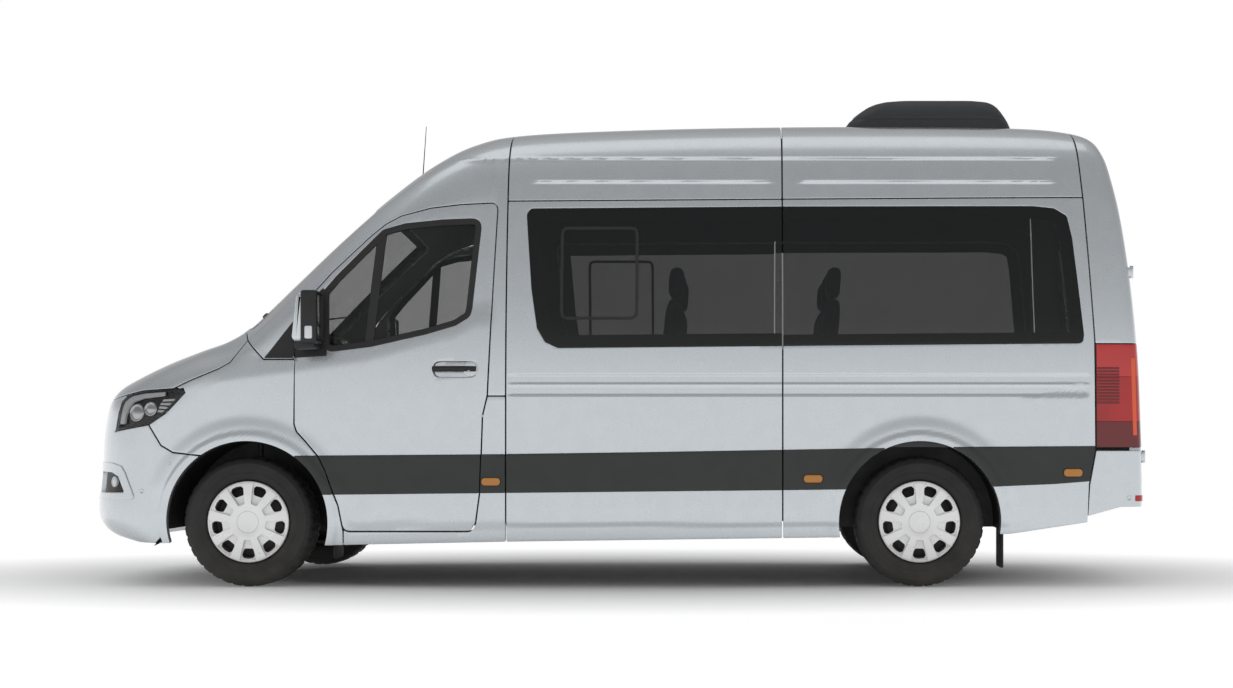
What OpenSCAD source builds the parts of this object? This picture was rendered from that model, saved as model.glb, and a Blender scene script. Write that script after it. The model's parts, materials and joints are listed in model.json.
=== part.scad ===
// Minibus: a high-roof passenger van with hinged front doors, twin rear doors and a sliding side door.
// Millimetres. The front points along -X, the left side along -Y, and Z is up from the road.

/* [Overall] */
// Distance between the axles
wheelbase = 3665; // [3300:5:4400]
// From the front bumper to the front axle
front_overhang = 1004; // [900:1:1210]
// From the rear axle to the rear bumper
rear_overhang = 1263; // [1050:1:1520]
// Width over the body sides
body_width = 2000; // [1700:1:2400]
// Height of the roof's crown above the road
roof_height = 2605; // [2250:1:3100]

/* [Wheels] */
// Outside diameter of a tyre
tyre_d = 712; // [640:1:760]
// Width of a tyre
tyre_w = 235; // [195:1:260]
// Diameter of the rim where the tyre sits
bead_d = 407; // [382:1:432]
// Width of the rim between its flanges
rim_w = 165; // [150:1:180]
// Diameter of a wheel's cover
cover_d = 447; // [430:1:470]
// Distance between the middles of the tyres on one axle
track = 1730; // [1600:1:1760]
// Radius of a wheel arch
arch_r = 441; // [430:1:470]
// How far a steered wheel's middle is outside its steering axis
king_offset = 165; // [160:1:190]
// Spokes in a wheel's cover
spokes = 9; // [6:1:12]

/* [Walls] */
// Thickness of the side walls, with their lining
wall_t = 60; // [40:1:80]
// Thickness of the doors
door_t = 66; // [50:1:90]
// How much smaller a door is behind its outer skin
door_step = 10; // [8:1:20]
// Thickness of the bonnet, wings and bumpers
skin_t = 34; // [25:1:50]
// Thickness of the glass
glass_t = 5; // [4:0.5:8]
// Gap between two panels
gap = 7; // [6:0.5:10]
// Gap between a pane and its frame
glass_gap = 3; // [2:0.5:6]

/* [Passenger space] */
// Height of the cabin floor above the road
floor_z = 640; // [560:1:720]
// Width of one passenger seat
seat_w = 470; // [400:1:520]
// Distance between two rows of seats
seat_pitch = 882; // [780:1:900]

/* [Hidden] */
$fn = 48;

// Places that follow from the overall sizes
length = front_overhang + wheelbase + rear_overhang;
front_x = -length / 2;
rear_x = length / 2;
axle_f = front_x + front_overhang;
axle_r = axle_f + wheelbase;
half_w = body_width / 2;
tyre_r = tyre_d / 2;
wheel_y = track / 2;
king_y = wheel_y - king_offset;
liner = 10;
liner_gap = 2;
// What stands against the walls keeps this much off their flat face, since the sides curve in low down and at the tail
tuck_room = 20;
far = 4000;

// ---------------------------------------------------------------------------------------------
// The body's surface. It is drawn at a reference size, and sx() and sz() carry a reference place to the real one:
// a longer wheelbase adds length between the wheel arches, and a higher roof adds height above the waist.
// ---------------------------------------------------------------------------------------------
REF_FRONT = -2966;
REF_REAR = 2966;
REF_AXLE_F = -1962;
REF_AXLE_R = 1703;
REF_ROOF = 2605;
REF_WAIST = 1300;
door_skin = 13;
arch_zone_f = 450;
arch_zone_r = 560;
STATIONS = [
    [REF_FRONT - far, front_x - far], [REF_FRONT, front_x],
    [REF_AXLE_F - arch_zone_f, axle_f - arch_zone_f], [REF_AXLE_F + arch_zone_r, axle_f + arch_zone_r],
    [REF_AXLE_R - arch_zone_r, axle_r - arch_zone_r], [REF_AXLE_R + arch_zone_r, axle_r + arch_zone_r],
    [REF_REAR, rear_x], [REF_REAR + far, rear_x + far]
];
HEIGHTS = [[-far, -far], [REF_WAIST, REF_WAIST], [REF_ROOF, roof_height], [REF_ROOF + far, roof_height + far]];
function sx(x) = lookup(x, STATIONS);
function sz(z) = lookup(z, HEIGHTS);
function placed(points) = [for (p = points) [sx(p[0]), sz(p[1])]];

// Ribs along the centre line, from under the front bumper over the roof to under the rear bumper. Each rib has
// its place x, z, the way in to where the side wall begins dx, dz, its squareness, and where its foot stands.
RIBS = [
    [-2640, 222, 200, 6, 2.4, -2440], [-2860, 268, 370, 20, 2.4, -2428], [-2948, 340, 440, 10, 2.5, -2414],
    [-2966, 425, 470, 0, 2.6, -2398], [-2952, 530, 465, -20, 2.6, -2378], [-2940, 660, 465, -40, 2.6, -2354],
    [-2932, 800, 480, -60, 2.7, -2326], [-2912, 930, 490, -90, 2.8, -2292], [-2880, 1032, 480, -130, 2.9, -2252],
    [-2810, 1108, 430, -170, 3.0, -2204], [-2680, 1176, 340, -210, 3.2, -2142], [-2500, 1254, 220, -240, 3.4, -2062],
    [-2310, 1325, 130, -240, 3.4, -1962], [-2140, 1388, 100, -220, 3.2, -1862], [-2015, 1478, 150, -190, 3.0, -1766],
    [-1780, 1712, 170, -170, 2.9, -1590], [-1520, 1966, 150, -190, 2.9, -1370], [-1270, 2196, 110, -260, 3.0, -1150],
    [-1010, 2394, 70, -350, 3.3, -930], [-770, 2510, 30, -430, 3.8, -720], [-480, 2558, 0, -462, 4.4, -470],
    [200, 2588, 0, -476, 4.6, 200], [1000, 2604, 0, -480, 4.6, 1000], [1750, 2605, 0, -474, 4.6, 1700],
    [2260, 2596, -10, -450, 4.6, 2150], [2530, 2574, -30, -390, 4.6, 2390], [2690, 2520, -80, -260, 4.8, 2480],
    [2765, 2410, -110, -130, 5.0, 2540], [2808, 2250, -115, -60, 5.4, 2590], [2852, 2010, -120, -20, 5.8, 2640],
    [2895, 1650, -120, 0, 6.0, 2690], [2925, 1280, -120, 0, 6.0, 2740], [2942, 860, -120, 0, 6.0, 2785],
    [2950, 600, -120, 0, 6.0, 2812], [2950, 420, -120, 0, 6.0, 2828]
];
rib_step = 0.5;
side_steps = 5;
top_steps = 7;
last_rib = len(RIBS) - 1;

function spline(a, b, c, d, t) =
    0.5 * (2 * b + (c - a) * t + (2 * a - 5 * b + 4 * c - d) * t * t + (3 * b - a - 3 * c + d) * t * t * t);
function rib_at(i) = RIBS[max(0, min(last_rib, i))];
function rib(s) = let (i = floor(s)) spline(rib_at(i - 1), rib_at(i), rib_at(i + 1), rib_at(i + 2), s - i);

// The body's lower edge, from the front bumper along the sills to the rear bumper
SILL = [[-2700, 226], [-2297, 230], [-1438, 232], [-550, 250], [1143, 272], [2200, 294], [2650, 362], [2900, 385]];
// How far the side is inside the widest place: at the nose and tail, above the waist and along the sills
function plan_in(x) = x < -1700 ? 60 * pow((x + 1700) / 1266, 2) : x > 1800 ? 25 * pow((x - 1800) / 1166, 2) : 0;
function lean_in(z) = z > 1000 ? 100 * pow((z - 1000) / 1100, 2) : z < 450 ? 14 * pow((450 - z) / 200, 2) : 0;
function half_at(x, z) = half_w - plan_in(x) - lean_in(z);

// One closed rib at s, the surface moved inwards by t, as real places
function rib_points(s, t) =
    let (
        r = rib(s),
        way = [r[2], r[3]] / norm([r[2], r[3]]),
        top = [r[0], r[1]] + t * way,
        side = top + [r[2], r[3]],
        foot = [r[5], lookup(r[5], SILL) - (t > 0 ? 60 : 0)],
        wall = [for (k = [0:side_steps]) let (p = foot + (side - foot) * k / side_steps)
            [p[0], -(half_at(p[0], p[1]) - t), p[1]]],
        over = [for (k = [1:2 * top_steps - 1]) let (
                a = 90 - 90 * k / top_steps,
                in = 1 - pow(cos(a), 2 / r[4]),
                out = sign(a) * pow(abs(sin(a)), 2 / r[4]),
                p = top + in * [r[2], r[3]]
            ) [p[0], -out * (half_at(p[0], p[1]) - t), p[1]]]
    )
    [for (p = concat(wall, over, [for (k = [side_steps:-1:0]) [wall[k][0], -wall[k][1], wall[k][2]]]))
        [sx(p[0]), p[1], sz(p[2])]];

// The closed body shape, moved inwards by t
module body_shape(t = 0) {
    rings = [for (s = [0:rib_step:last_rib]) rib_points(s, t)];
    n = len(rings[0]);
    m = len(rings);
    bands = [for (i = [0:m - 2]) for (j = [0:n - 1]) let (a = i * n + j, b = i * n + (j + 1) % n)
        each [[a, b, a + n], [b, b + n, a + n]]];
    // An end is closed between each point and its twin on the other side
    ends = [for (e = [0, m - 1]) for (j = [0:floor(n / 2) - 2]) let (
            o = e * n, a = o + j, b = o + j + 1, c = o + n - 2 - j, d = o + n - 1 - j)
        each e == 0 ? [[a, d, b], [b, d, c]] : [[a, b, d], [b, c, d]]];
    middle = floor(n / 2);
    tips = [for (e = [0, m - 1]) let (o = e * n)
        e == 0 ? [o + middle - 1, o + middle + 1, o + middle] : [o + middle - 1, o + middle, o + middle + 1]];
    polyhedron(points = [for (r = rings) each r], faces = concat(bands, ends, tips), convexity = 10);
}

// A wall of the body between two depths, where the children are, as one plain mesh
module body_wall(outer, inner) {
    resize([0, 0, 0])
        intersection() {
            difference() {
                body_shape(outer);
                body_shape(inner);
            }
            children();
        }
}

// A piece that sits on the body's surface
module on_body() {
    resize([0, 0, 0]) difference() {
        children();
        body_shape(-seat_gap);
    }
}

// A door: its outer skin, and a body behind it that is smaller all round, so that it swings clear of its frame
module stepped_wall(thick) {
    resize([0, 0, 0]) {
        intersection() {
            difference() {
                body_shape(0);
                body_shape(door_skin);
            }
            let ($inset = 0) children();
        }
        intersection() {
            difference() {
                body_shape(door_skin - 1);
                body_shape(thick);
            }
            let ($inset = door_step) children();
        }
    }
}

// Outlines seen from the side, carried from y0 to y1
module side_cut(points, grow = 0, y0 = -far, y1 = far) {
    translate([0, y1, 0]) rotate([90, 0, 0]) linear_extrude(y1 - y0)
        offset(delta = grow) polygon(placed(points));
}
// The same with its outer corners rounded
module round_cut(points, r, grow = 0, y0 = -far, y1 = far) {
    translate([0, y1, 0]) rotate([90, 0, 0]) linear_extrude(y1 - y0)
        offset(r = r + grow, $fn = 24) offset(delta = -r) polygon(placed(points));
}
// Outlines seen from behind, given as half outlines, from x0 to x1
module end_cut(points, grow = 0, x0 = 0, x1 = far, r = 1) {
    translate([x0, 0, 0]) rotate([90, 0, 90]) linear_extrude(x1 - x0)
        offset(r = r + grow, $fn = 24) offset(delta = -r)
            polygon(concat([for (p = points) [p[0], sz(p[1])]],
                [for (k = [len(points) - 1:-1:0]) [-points[k][0], sz(points[k][1])]]));
}
module right_side() mirror([0, 1, 0]) children();
module both_sides() {
    children();
    right_side() children();
}

// ---------------------------------------------------------------------------------------------
// Panel outlines, seen from the side
// ---------------------------------------------------------------------------------------------
joint_b = -552;
joint_c = 956;
DOOR_FRONT = [[-1438, 304], [-1465, 446], [-1492, 517], [-1536, 640], [-1574, 716], [-1645, 800], [-1690, 848],
    [-1704, 890], [-1704, 1400]];
CAB_DOOR = concat(DOOR_FRONT, [[-1692, 1467], [-1659, 1532], [-1611, 1604], [-1515, 1716], [-1303, 1924],
    [-1222, 1992], [-1141, 2035], [-978, 2079], [-814, 2099], [-605, 2110], [-652, 1046], [-678, 936], [-692, 528],
    [-716, 350], [-740, 304]]);
CAB_WINDOW = [[-1551, 1279], [-1290, 1311], [-990, 1379], [-828, 1427], [-750, 1476], [-739, 1522], [-691, 2024],
    [-911, 2015], [-1113, 1994], [-1237, 1959], [-1487, 1698], [-1557, 1613]];
BONNET = [[-3200, 1004], [-2850, 1012], [-2700, 1045], [-2551, 1074], [-2368, 1083], [-2280, 1125], [-2120, 1192],
    [-2060, 1227], [-2006, 1303], [-1975, 1350], [-2060, 1465], [-2300, 1800], [-3200, 1800]];
HEADLAMP = [[-3200, 842], [-2734, 850], [-2504, 887], [-2406, 952], [-2303, 1061], [-2312, 1081], [-2368, 1083],
    [-2551, 1074], [-2700, 1045], [-2850, 1012], [-3200, 1004]];
BUMPER_LINE = [[-2000, 714], [-2216, 718], [-2368, 735], [-2434, 773], [-2504, 887]];
FRONT_BUMPER = concat([[-3200, 236], [-2000, 236]], BUMPER_LINE,
    [[-2406, 952], [-2303, 1061], [-2312, 1081], [-2368, 1083], [-2551, 1074], [-2700, 1045], [-2850, 1012],
    [-3200, 1004]]);
WING_TOP = [[-1704, 1243], [-1875, 1243], [-1975, 1350]];
WING = concat([[-1438, 100]], DOOR_FRONT, WING_TOP, [[-2800, 1350], [-2800, 400], [-1962, 400], [-1962, 100]]);
CAB = concat([[-1438, 100]], [for (k = [0:len(DOOR_FRONT) - 2]) DOOR_FRONT[k]], WING_TOP,
    [[-2060, 1465], [-2300, 3400], [joint_b, 3400], [joint_b, 100]]);
roof_line_f = 2117;
roof_line_r = 2139;
TAIL_LINE = [[2553, 2900], [2612, roof_line_r], [2659, 1344], [2663, 754], [2628, 560], [2612, 100]];
SIDE_WINDOW = [[-447, 2045], [-425, 2076], [954, 2087], [2335, 2090], [2450, 2078], [2520, 2035], [2545, 1915],
    [2600, 1380], [2592, 1330], [-268, 1304], [-339, 1336], [-383, 1413], [-415, 1627]];
lamp_bottom = 762;
lamp_top = 1328;
HEAD_INNER_Y = 520;
GRILLE = [[470, 1040], [474, 930], [430, 760], [350, 640]];
REAR_DOORS = [[878, 566], [878, 1400], [858, 1800], [800, 2300], [740, 2440]];
REAR_WINDOW = [[800, 1330], [796, 1700], [770, 2060]];
REAR_STILE = 60;

// The bay that the screen fills, as an outline in the screen's own slope
screen_low = [sx(-2030), sz(1464)];
screen_high = [sx(-1330), sz(2142)];
screen_slope = atan2(screen_high[1] - screen_low[1], screen_high[0] - screen_low[0]);
screen_length = norm(screen_high - screen_low);
module screen_cut(grow = 0) {
    translate([screen_low[0], 0, screen_low[1]]) rotate([0, -screen_slope, 0]) translate([0, 0, -300])
        linear_extrude(700) offset(r = 60 + grow, $fn = 32) offset(delta = -60)
            polygon([[-14, -half_w + 150], [-24, 0], [-14, half_w - 150],
                [screen_length - 30, half_w - 222], [screen_length, 0], [screen_length - 30, -half_w + 222]]);
}
module wheel_arch(x) translate([x, 0, tyre_r]) rotate([90, 0, 0]) cylinder(r = arch_r, h = 2 * far, center = true);
module arches() {
    wheel_arch(axle_f);
    wheel_arch(axle_r);
}

// ---------------------------------------------------------------------------------------------
// Body panels
// ---------------------------------------------------------------------------------------------
module cab_frame() color("#b9c2ca") {
    body_wall(0, wall_t) difference() {
        side_cut(CAB, -gap / 2);
        round_cut(CAB_DOOR, 24, gap / 2);
        screen_cut();
        arches();
    }
}
module front_wings() color("#b9c2ca") {
    body_wall(0, skin_t) difference() {
        side_cut(WING, -gap / 2);
        side_cut(BONNET, gap / 2);
        side_cut(FRONT_BUMPER, gap / 2);
        side_cut(HEADLAMP, gap / 2);
        arches();
        translate([0, 0, 0]) cube([2 * far, 2 * (half_w - 420), 2 * far], center = true);
    }
}
module bonnet() color("#aab4bd") {
    body_wall(0, skin_t) side_cut(BONNET, -gap / 2);
}
module front_bumper() color("#b9c2ca") {
    body_wall(0, skin_t) difference() {
        side_cut(FRONT_BUMPER, -gap / 2);
        side_cut(BONNET, gap / 2);
        both_sides() side_cut(HEADLAMP, gap / 2, -far, -HEAD_INNER_Y + gap / 2);
        mirror([1, 0, 0]) end_cut(GRILLE, gap / 2, r = 30);
        arches();
    }
}
grille_bars = 3;
module grille() color("#2b2d2f") {
    body_wall(8, 8 + skin_t) difference() {
        mirror([1, 0, 0]) end_cut(GRILLE, -gap / 2, r = 30);
        side_cut(BONNET, gap / 2);
        for (k = [0:grille_bars]) translate([-far, -400 + 30 * k, 930 - 82 * k]) mirror([0, 0, 1])
            translate([0, -60 * (k > 2 ? 1 : 0), 0]) cube([far, 800 - 60 * k + 120 * (k > 2 ? 1 : 0), 44]);
    }
}
module headlamps() color("#dfe4e8") {
    body_wall(2, 2 + skin_t) difference() {
        side_cut(HEADLAMP, -gap / 2);
        cube([2 * far, 2 * HEAD_INNER_Y + gap, 2 * far], center = true);
    }
}
module windscreen() color("#38424a") {
    body_wall(6, 6 + glass_t) screen_cut(-glass_gap);
}
module roof_panel() color("#b9c2ca") {
    body_wall(0, wall_t) difference() {
        union() {
            side_cut([[joint_b, roof_line_f], [joint_b, 3400], [joint_c, 3400],
                [joint_c, (roof_line_f + roof_line_r) / 2]], -gap / 2);
            side_cut([[joint_c, (roof_line_f + roof_line_r) / 2], [joint_c, 3400], [TAIL_LINE[0][0], 3400],
                TAIL_LINE[0], TAIL_LINE[1]], -gap / 2);
        }
    }
}
module side_window_cut(grow) round_cut(SIDE_WINDOW, 20, grow);
module front_bay(grow, low) {
    side_cut([[joint_b, low], [joint_b, roof_line_f], [joint_c, (roof_line_f + roof_line_r) / 2],
        [joint_c, low]], grow);
}
module rear_bay(grow) {
    side_cut(concat([[joint_c, 100], [joint_c, (roof_line_f + roof_line_r) / 2]],
        [for (k = [1:5]) TAIL_LINE[k]]), grow);
}
slide_sill = 330;
module side_wall_left() color("#c3cad1") {
    body_wall(0, wall_t) difference() {
        union() {
            front_bay(-gap / 2, 100);
            rear_bay(-gap / 2);
        }
        side_window_cut(0);
        arches();
        translate([-far, 0, -far]) cube(2 * far);
    }
}
module side_wall_right() color("#c3cad1") {
    body_wall(0, wall_t) difference() {
        union() {
            rear_bay(-gap / 2);
            intersection() {
                front_bay(-gap / 2, 100);
                side_cut([[-far, -far], [-far, slide_sill - gap], [far, slide_sill - gap], [far, -far]]);
            }
        }
        side_window_cut(0);
        arches();
        translate([-far, -2 * far, -far]) cube(2 * far);
    }
}
module sliding_door() color("#c3cad1") {
    body_wall(0, door_t) difference() {
        front_bay(-gap / 2, slide_sill);
        side_window_cut(0);
        translate([-far, -2 * far, -far]) cube(2 * far);
    }
}
module side_windows() color("#2c3134") {
    body_wall(5, 5 + glass_t) difference() {
        side_window_cut(-glass_gap);
        translate([sx(joint_c), 0, 0]) cube([gap, 2 * far, 2 * far], center = true);
        cube([2 * far, body_width / 2, 2 * far], center = true);
    }
}
module rear_frame() color("#a9b3bc") {
    body_wall(0, wall_t) difference() {
        side_cut(concat(TAIL_LINE, [[3400, 100], [3400, 2900]]), -gap / 2);
        end_cut(REAR_DOORS, gap / 2, r = 120);
        tail_lamp_cut(gap / 2);
        side_cut([[2000, -far], [2000, lamp_bottom], [3400, lamp_bottom], [3400, -far]]);
    }
}
module tail_lamp_cut(grow) {
    intersection() {
        side_cut([[TAIL_LINE[3][0] + gap / 2, lamp_bottom], [TAIL_LINE[2][0] + gap / 2, lamp_top],
            [3400, lamp_top], [3400, lamp_bottom]], grow);
        difference() {
            cube(2 * far, center = true);
            cube([2 * far, 2 * (REAR_DOORS[0][0] + gap - grow), 2 * far], center = true);
        }
    }
}
module tail_lamps() color("#a01818") {
    body_wall(1, 1 + skin_t) tail_lamp_cut(-1);
}
module rear_bumper() color("#b0b9c1") {
    body_wall(0, wall_t) difference() {
        side_cut([[TAIL_LINE[3][0], 748], [2628, 560], [2612, 100], [3400, 100], [3400, 748]], -gap / 2);
        end_cut(concat([[REAR_DOORS[0][0], 566], [REAR_DOORS[0][0], 900]]), gap / 2);
    }
    step_bar();
}
// The step plate along the rear bumper
module step_bar() {
    translate([sx(2900), -640, sz(470)]) cube([rear_x - sx(2900), 1280, 60]);
}

// ---------------------------------------------------------------------------------------------
// Doors
// ---------------------------------------------------------------------------------------------
module cab_door() {
    stepped_wall(door_t) difference() {
        round_cut(CAB_DOOR, 24, -gap / 2 - $inset, -far, 0);
        round_cut(CAB_WINDOW, 30, 0);
    }
    door_handle();
}
// A pull handle that stands off the door
module door_handle() {
    y = -half_at(-828, 1190) - 1;
    translate([sx(-885), y - 26, sz(1183)]) cube([116, 15, 24]);
    for (x = [-885, -785]) translate([sx(x), y - 26, sz(1183)]) cube([16, 40, 24]);
}
module cab_glass() {
    body_wall(8, 8 + glass_t) round_cut(CAB_WINDOW, 30, -glass_gap, -far, 0);
}
mirror_w = 168;
module door_mirror() {
    x = sx(-1650);
    y = -half_w;
    on_body() difference() {
        hull() {
            translate([x + 20, y - mirror_w, 1330]) cylinder(r = 20, h = 250, $fn = 24);
            translate([x + 20, y - 10, 1330]) cylinder(r = 20, h = 250, $fn = 24);
            translate([x + 60, y - mirror_w + 40, 1310]) cube([70, mirror_w - 56, 290]);
        }
        translate([x + 122, y - mirror_w + 10, 1345]) cube([20, mirror_w - 40, 225]);
    }
    on_body() translate([x + 30, y - 20, 1345]) cube([60, 44, 60]);
}
module rear_door() {
    stepped_wall(wall_t) difference() {
        end_cut(REAR_DOORS, -gap / 2 - $inset, x0 = sx(2640), r = 120);
        difference() {
            end_cut(REAR_WINDOW, 0, r = 60);
            translate([-far, -REAR_STILE, -far]) cube(2 * far);
        }
        translate([-far, -gap / 2 - $inset, -far]) cube(2 * far);
    }
}
module rear_glass() {
    body_wall(5, 5 + glass_t) difference() {
        end_cut(REAR_WINDOW, -glass_gap, x0 = sx(2640), r = 60);
        translate([-far, -REAR_STILE - glass_gap, -far]) cube(2 * far);
    }
}

// ---------------------------------------------------------------------------------------------
// Under the body
// ---------------------------------------------------------------------------------------------
rail_y = 470;
rail_w = 70;
rail_h = 120;
floor_t = 40;
cab_floor = floor_z - 20;
rail_z = floor_z - 60 - rail_h;
firewall_x = sx(-1740);
pad_x = [sx(-1250), sx(1020)];
pad_y = rail_y + 180;
pad_z = rail_z + 60;
pad = [90, 80];
beam_x = [for (x = [-2740, -1350, -300, 800, 2260]) sx(x)];
tow_d = 13;
tow_spacing = 80;
tow_x = sx(2730);
module floor_pan() color("#55595c") {
    floor_y = half_w - wall_t - tuck_room;
    step_y = half_w - door_t - tuck_room;
    difference() {
        union() {
            // Cabin floor, the lower cab floor, the wall in front of it, and the steps at the cab doors
            translate([sx(-560), -floor_y, floor_z - floor_t]) cube([sx(2780) - sx(-560), 2 * floor_y, floor_t]);
            translate([firewall_x, -720, cab_floor - floor_t]) cube([sx(-559) - firewall_x, 1440, floor_t]);
            translate([firewall_x, -860, cab_floor - floor_t]) cube([24, 1720, 340]);
            for (side = [0, 1]) mirror([0, side, 0]) {
                translate([sx(-1400), -step_y, 400]) cube([sx(-740) - sx(-1400), step_y - 700, 20]);
                translate([sx(-1400), -720, 400]) cube([sx(-740) - sx(-1400), 20.5, cab_floor - 400]);
            }
            // Rails, the beams between them, the hangers of the rear springs, and the jacking pads
            for (side = [-1, 1]) translate([sx(-2700), side * rail_y - rail_w / 2, rail_z])
                cube([sx(2800) - sx(-2700), rail_w, cab_floor - floor_t + 0.5 - rail_z]);
            for (side = [-1, 1]) translate([sx(0), side * rail_y - rail_w / 2, cab_floor - floor_t])
                cube([sx(2780) - sx(0), rail_w, 20.5]);
            for (x = beam_x) translate([x, -rail_y - rail_w / 2, rail_z + 20]) cube([60, 2 * rail_y + rail_w, 80]);
            for (side = [-1, 1]) for (x = [-1, 1])
                translate([axle_r + x * 590 - 30, side * spring_y - leaf_w / 2, floor_z - floor_t - hanger_h])
                    cube([60, leaf_w, hanger_h + 0.5]);
            for (side = [-1, 1]) for (x = pad_x) translate([x, side * pad_y - pad[1] / 2, pad_z])
                cube([pad[0], pad[1], cab_floor - floor_t + 0.5 - pad_z]);
            for (side = [-1, 1]) translate([pad_x[1], side * pad_y - pad[1] / 2, cab_floor - floor_t])
                cube([pad[0], pad[1], 20.5]);
        }
        arches_cut();
        // Room for the rear axle under a low floor
        hull() for (z = [0, -arch_r]) translate([axle_r, half_w, tyre_r + z]) rotate([90, 0, 0])
            cylinder(r = tube_r + tuck_room, h = 2 * half_w);
        for (side = [-1, 1]) for (k = [-1, 1]) translate([tow_x + k * tow_spacing / 2, side * rail_y, rail_z - 1])
            cylinder(d = tow_d, h = 61);
    }
}
// The wheels' room, inside each arch
housing_in_f = 341;
housing_in_r = 191;
housing_foot = 40;
module arches_cut() {
    for (axle = [[axle_f, housing_in_f], [axle_r, housing_in_r]]) for (side = [0, 1]) mirror([0, side, 0])
        translate([axle[0], -wheel_y + axle[1] + liner, tyre_r]) rotate([90, 0, 0])
            cylinder(r = arch_r + liner + 2 * liner_gap, h = half_w);
}
module wheel_housings() color("#1c1d1e") {
    for (side = [0, 1]) mirror([0, side, 0]) {
        wheel_housing(axle_f, housing_in_f);
        difference() {
            wheel_housing(axle_r, housing_in_r);
            // The axle's way in, from below
            hull() for (z = [0, -arch_r]) translate([axle_r, 0, tyre_r + z]) rotate([90, 0, 0])
                cylinder(r = tube_r + tuck_room, h = half_w);
        }
    }
}
// A round liner on the left side, open outwards and downwards
module wheel_housing(x, inboard) {
    outer = half_w - wall_t - tuck_room;
    deep = wheel_y - inboard;
    translate([x, -deep, tyre_r]) rotate([90, 0, 0]) difference() {
        cylinder(r = arch_r + liner_gap + liner, h = outer - deep);
        translate([0, 0, liner]) cylinder(r = arch_r + liner_gap, h = outer);
        translate([-far, -far - housing_foot, -1]) cube([2 * far, far, far]);
    }
}
arm_r = 34;
arm_h = 30;
ball_r = 14;
module front_axle() color("#3c4043") {
    // Cross member, lower arms and the leaf spring under it
    translate([axle_f - 70, -400, 270]) cube([140, 800, 90]);
    for (side = [-1, 1]) difference() {
        hull() {
            for (x = [-120, 120]) translate([axle_f + x, side * 380, 270]) cylinder(r = 26, h = 34, $fn = 24);
            translate([axle_f, side * king_y, 262]) cylinder(r = arm_r, h = arm_h, $fn = 32);
        }
        translate([axle_f, side * king_y, 200]) cylinder(r = ball_r + running_gap, h = 150);
    }
    translate([axle_f - 40, -480, 236]) cube([80, 960, 34.5]);
}
disc_r = 138;
strut_r = 28;
strut_top = tyre_r + arch_r - 12;
module knuckle() {
    // Ball pin, upright and strut on the steering axis, and the stub axle with its brake disc
    translate([axle_f, -king_y, 250]) cylinder(r = ball_r, h = 60);
    translate([axle_f - 36, -king_y - 34, 262 + arm_h + 6]) cube([72, 68, 150]);
    translate([axle_f, -king_y, 440]) cylinder(r = strut_r, h = 200);
    translate([axle_f, -king_y, 630]) cylinder(r = 14, h = strut_top - 630);
    translate([axle_f, -king_y, tyre_r]) rotate([90, 0, 0]) cylinder(r = 44, h = wheel_y - king_y - 12);
    translate([axle_f, -king_y - 20, tyre_r]) rotate([90, 0, 0])
        cylinder(r = stub_r, h = wheel_y - king_y - 20 + stub_reach);
    translate([axle_f, -wheel_y + 54, tyre_r]) rotate([90, 0, 0]) cylinder(r = disc_r, h = 24);
}
spring_y = 560;
leaf_t = 36;
leaf_w = 60;
tube_r = 42;
// The springs' eyes rise from the axle to just under their hangers
hanger_h = 28;
leaf_half = 634;
leaf_rise = floor_z - floor_t - hanger_h - 5 - (tyre_r + tube_r - 2 + leaf_t);
leaf_r = (leaf_half * leaf_half + leaf_rise * leaf_rise) / (2 * leaf_rise);
leaf_span = asin(leaf_half / leaf_r);
module rear_axle() color("#3c4043") {
    translate([axle_r, 0, tyre_r]) rotate([90, 0, 0]) cylinder(r = tube_r, h = 2 * (wheel_y - 30), center = true);
    translate([axle_r, 0, tyre_r]) rotate([90, 0, 0])
        cylinder(r = stub_r, h = 2 * (wheel_y + stub_reach), center = true);
    translate([axle_r, 0, tyre_r]) sphere(r = 125);
    for (side = [-1, 1]) {
        translate([axle_r, side * (wheel_y - 42), tyre_r]) rotate([90, 0, 0])
            cylinder(r = disc_r, h = 24, center = true);
        // Leaf spring, an arc from eye to eye
        translate([axle_r, side * spring_y + leaf_w / 2, tyre_r + tube_r - 2 + leaf_t + leaf_r]) rotate([90, 0, 0])
            rotate([0, 0, -90 - leaf_span]) rotate_extrude(angle = 2 * leaf_span, $fn = 128)
                translate([leaf_r, 0]) square([leaf_t, leaf_w]);
    }
}
module engine() color("#3a3d40") {
    translate([sx(-2560), -280, 420]) cube([700, 560, 560]);
}
module fuel_tank() color("#26282a") {
    translate([sx(-1180), -rail_y + rail_w / 2 + 60, rail_z - 150]) cube([820, 560, 168]);
}
module exhaust() color("#84888b") {
    z = rail_z - 40;
    translate([sx(-300), 300, z]) rotate([0, 90, 0]) cylinder(r = 30, h = sx(1280) - sx(-300));
    translate([sx(-200), 300, z]) rotate([0, 90, 0]) cylinder(r = 85, h = 560);
}
flap_w = 210;
module mudflaps() color("#1d1f20") {
    x = arch_r + liner + 2 * liner_gap;
    for (side = [0, 1]) mirror([0, side, 0]) {
        translate([axle_f + x, -half_w + wall_t + tuck_room, 150]) cube([12, flap_w, cab_floor - floor_t - 50 - 150]);
        translate([axle_r + x, -half_w + wall_t + tuck_room, 100]) cube([12, flap_w, floor_z - floor_t - 60 - 100]);
    }
}

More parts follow.
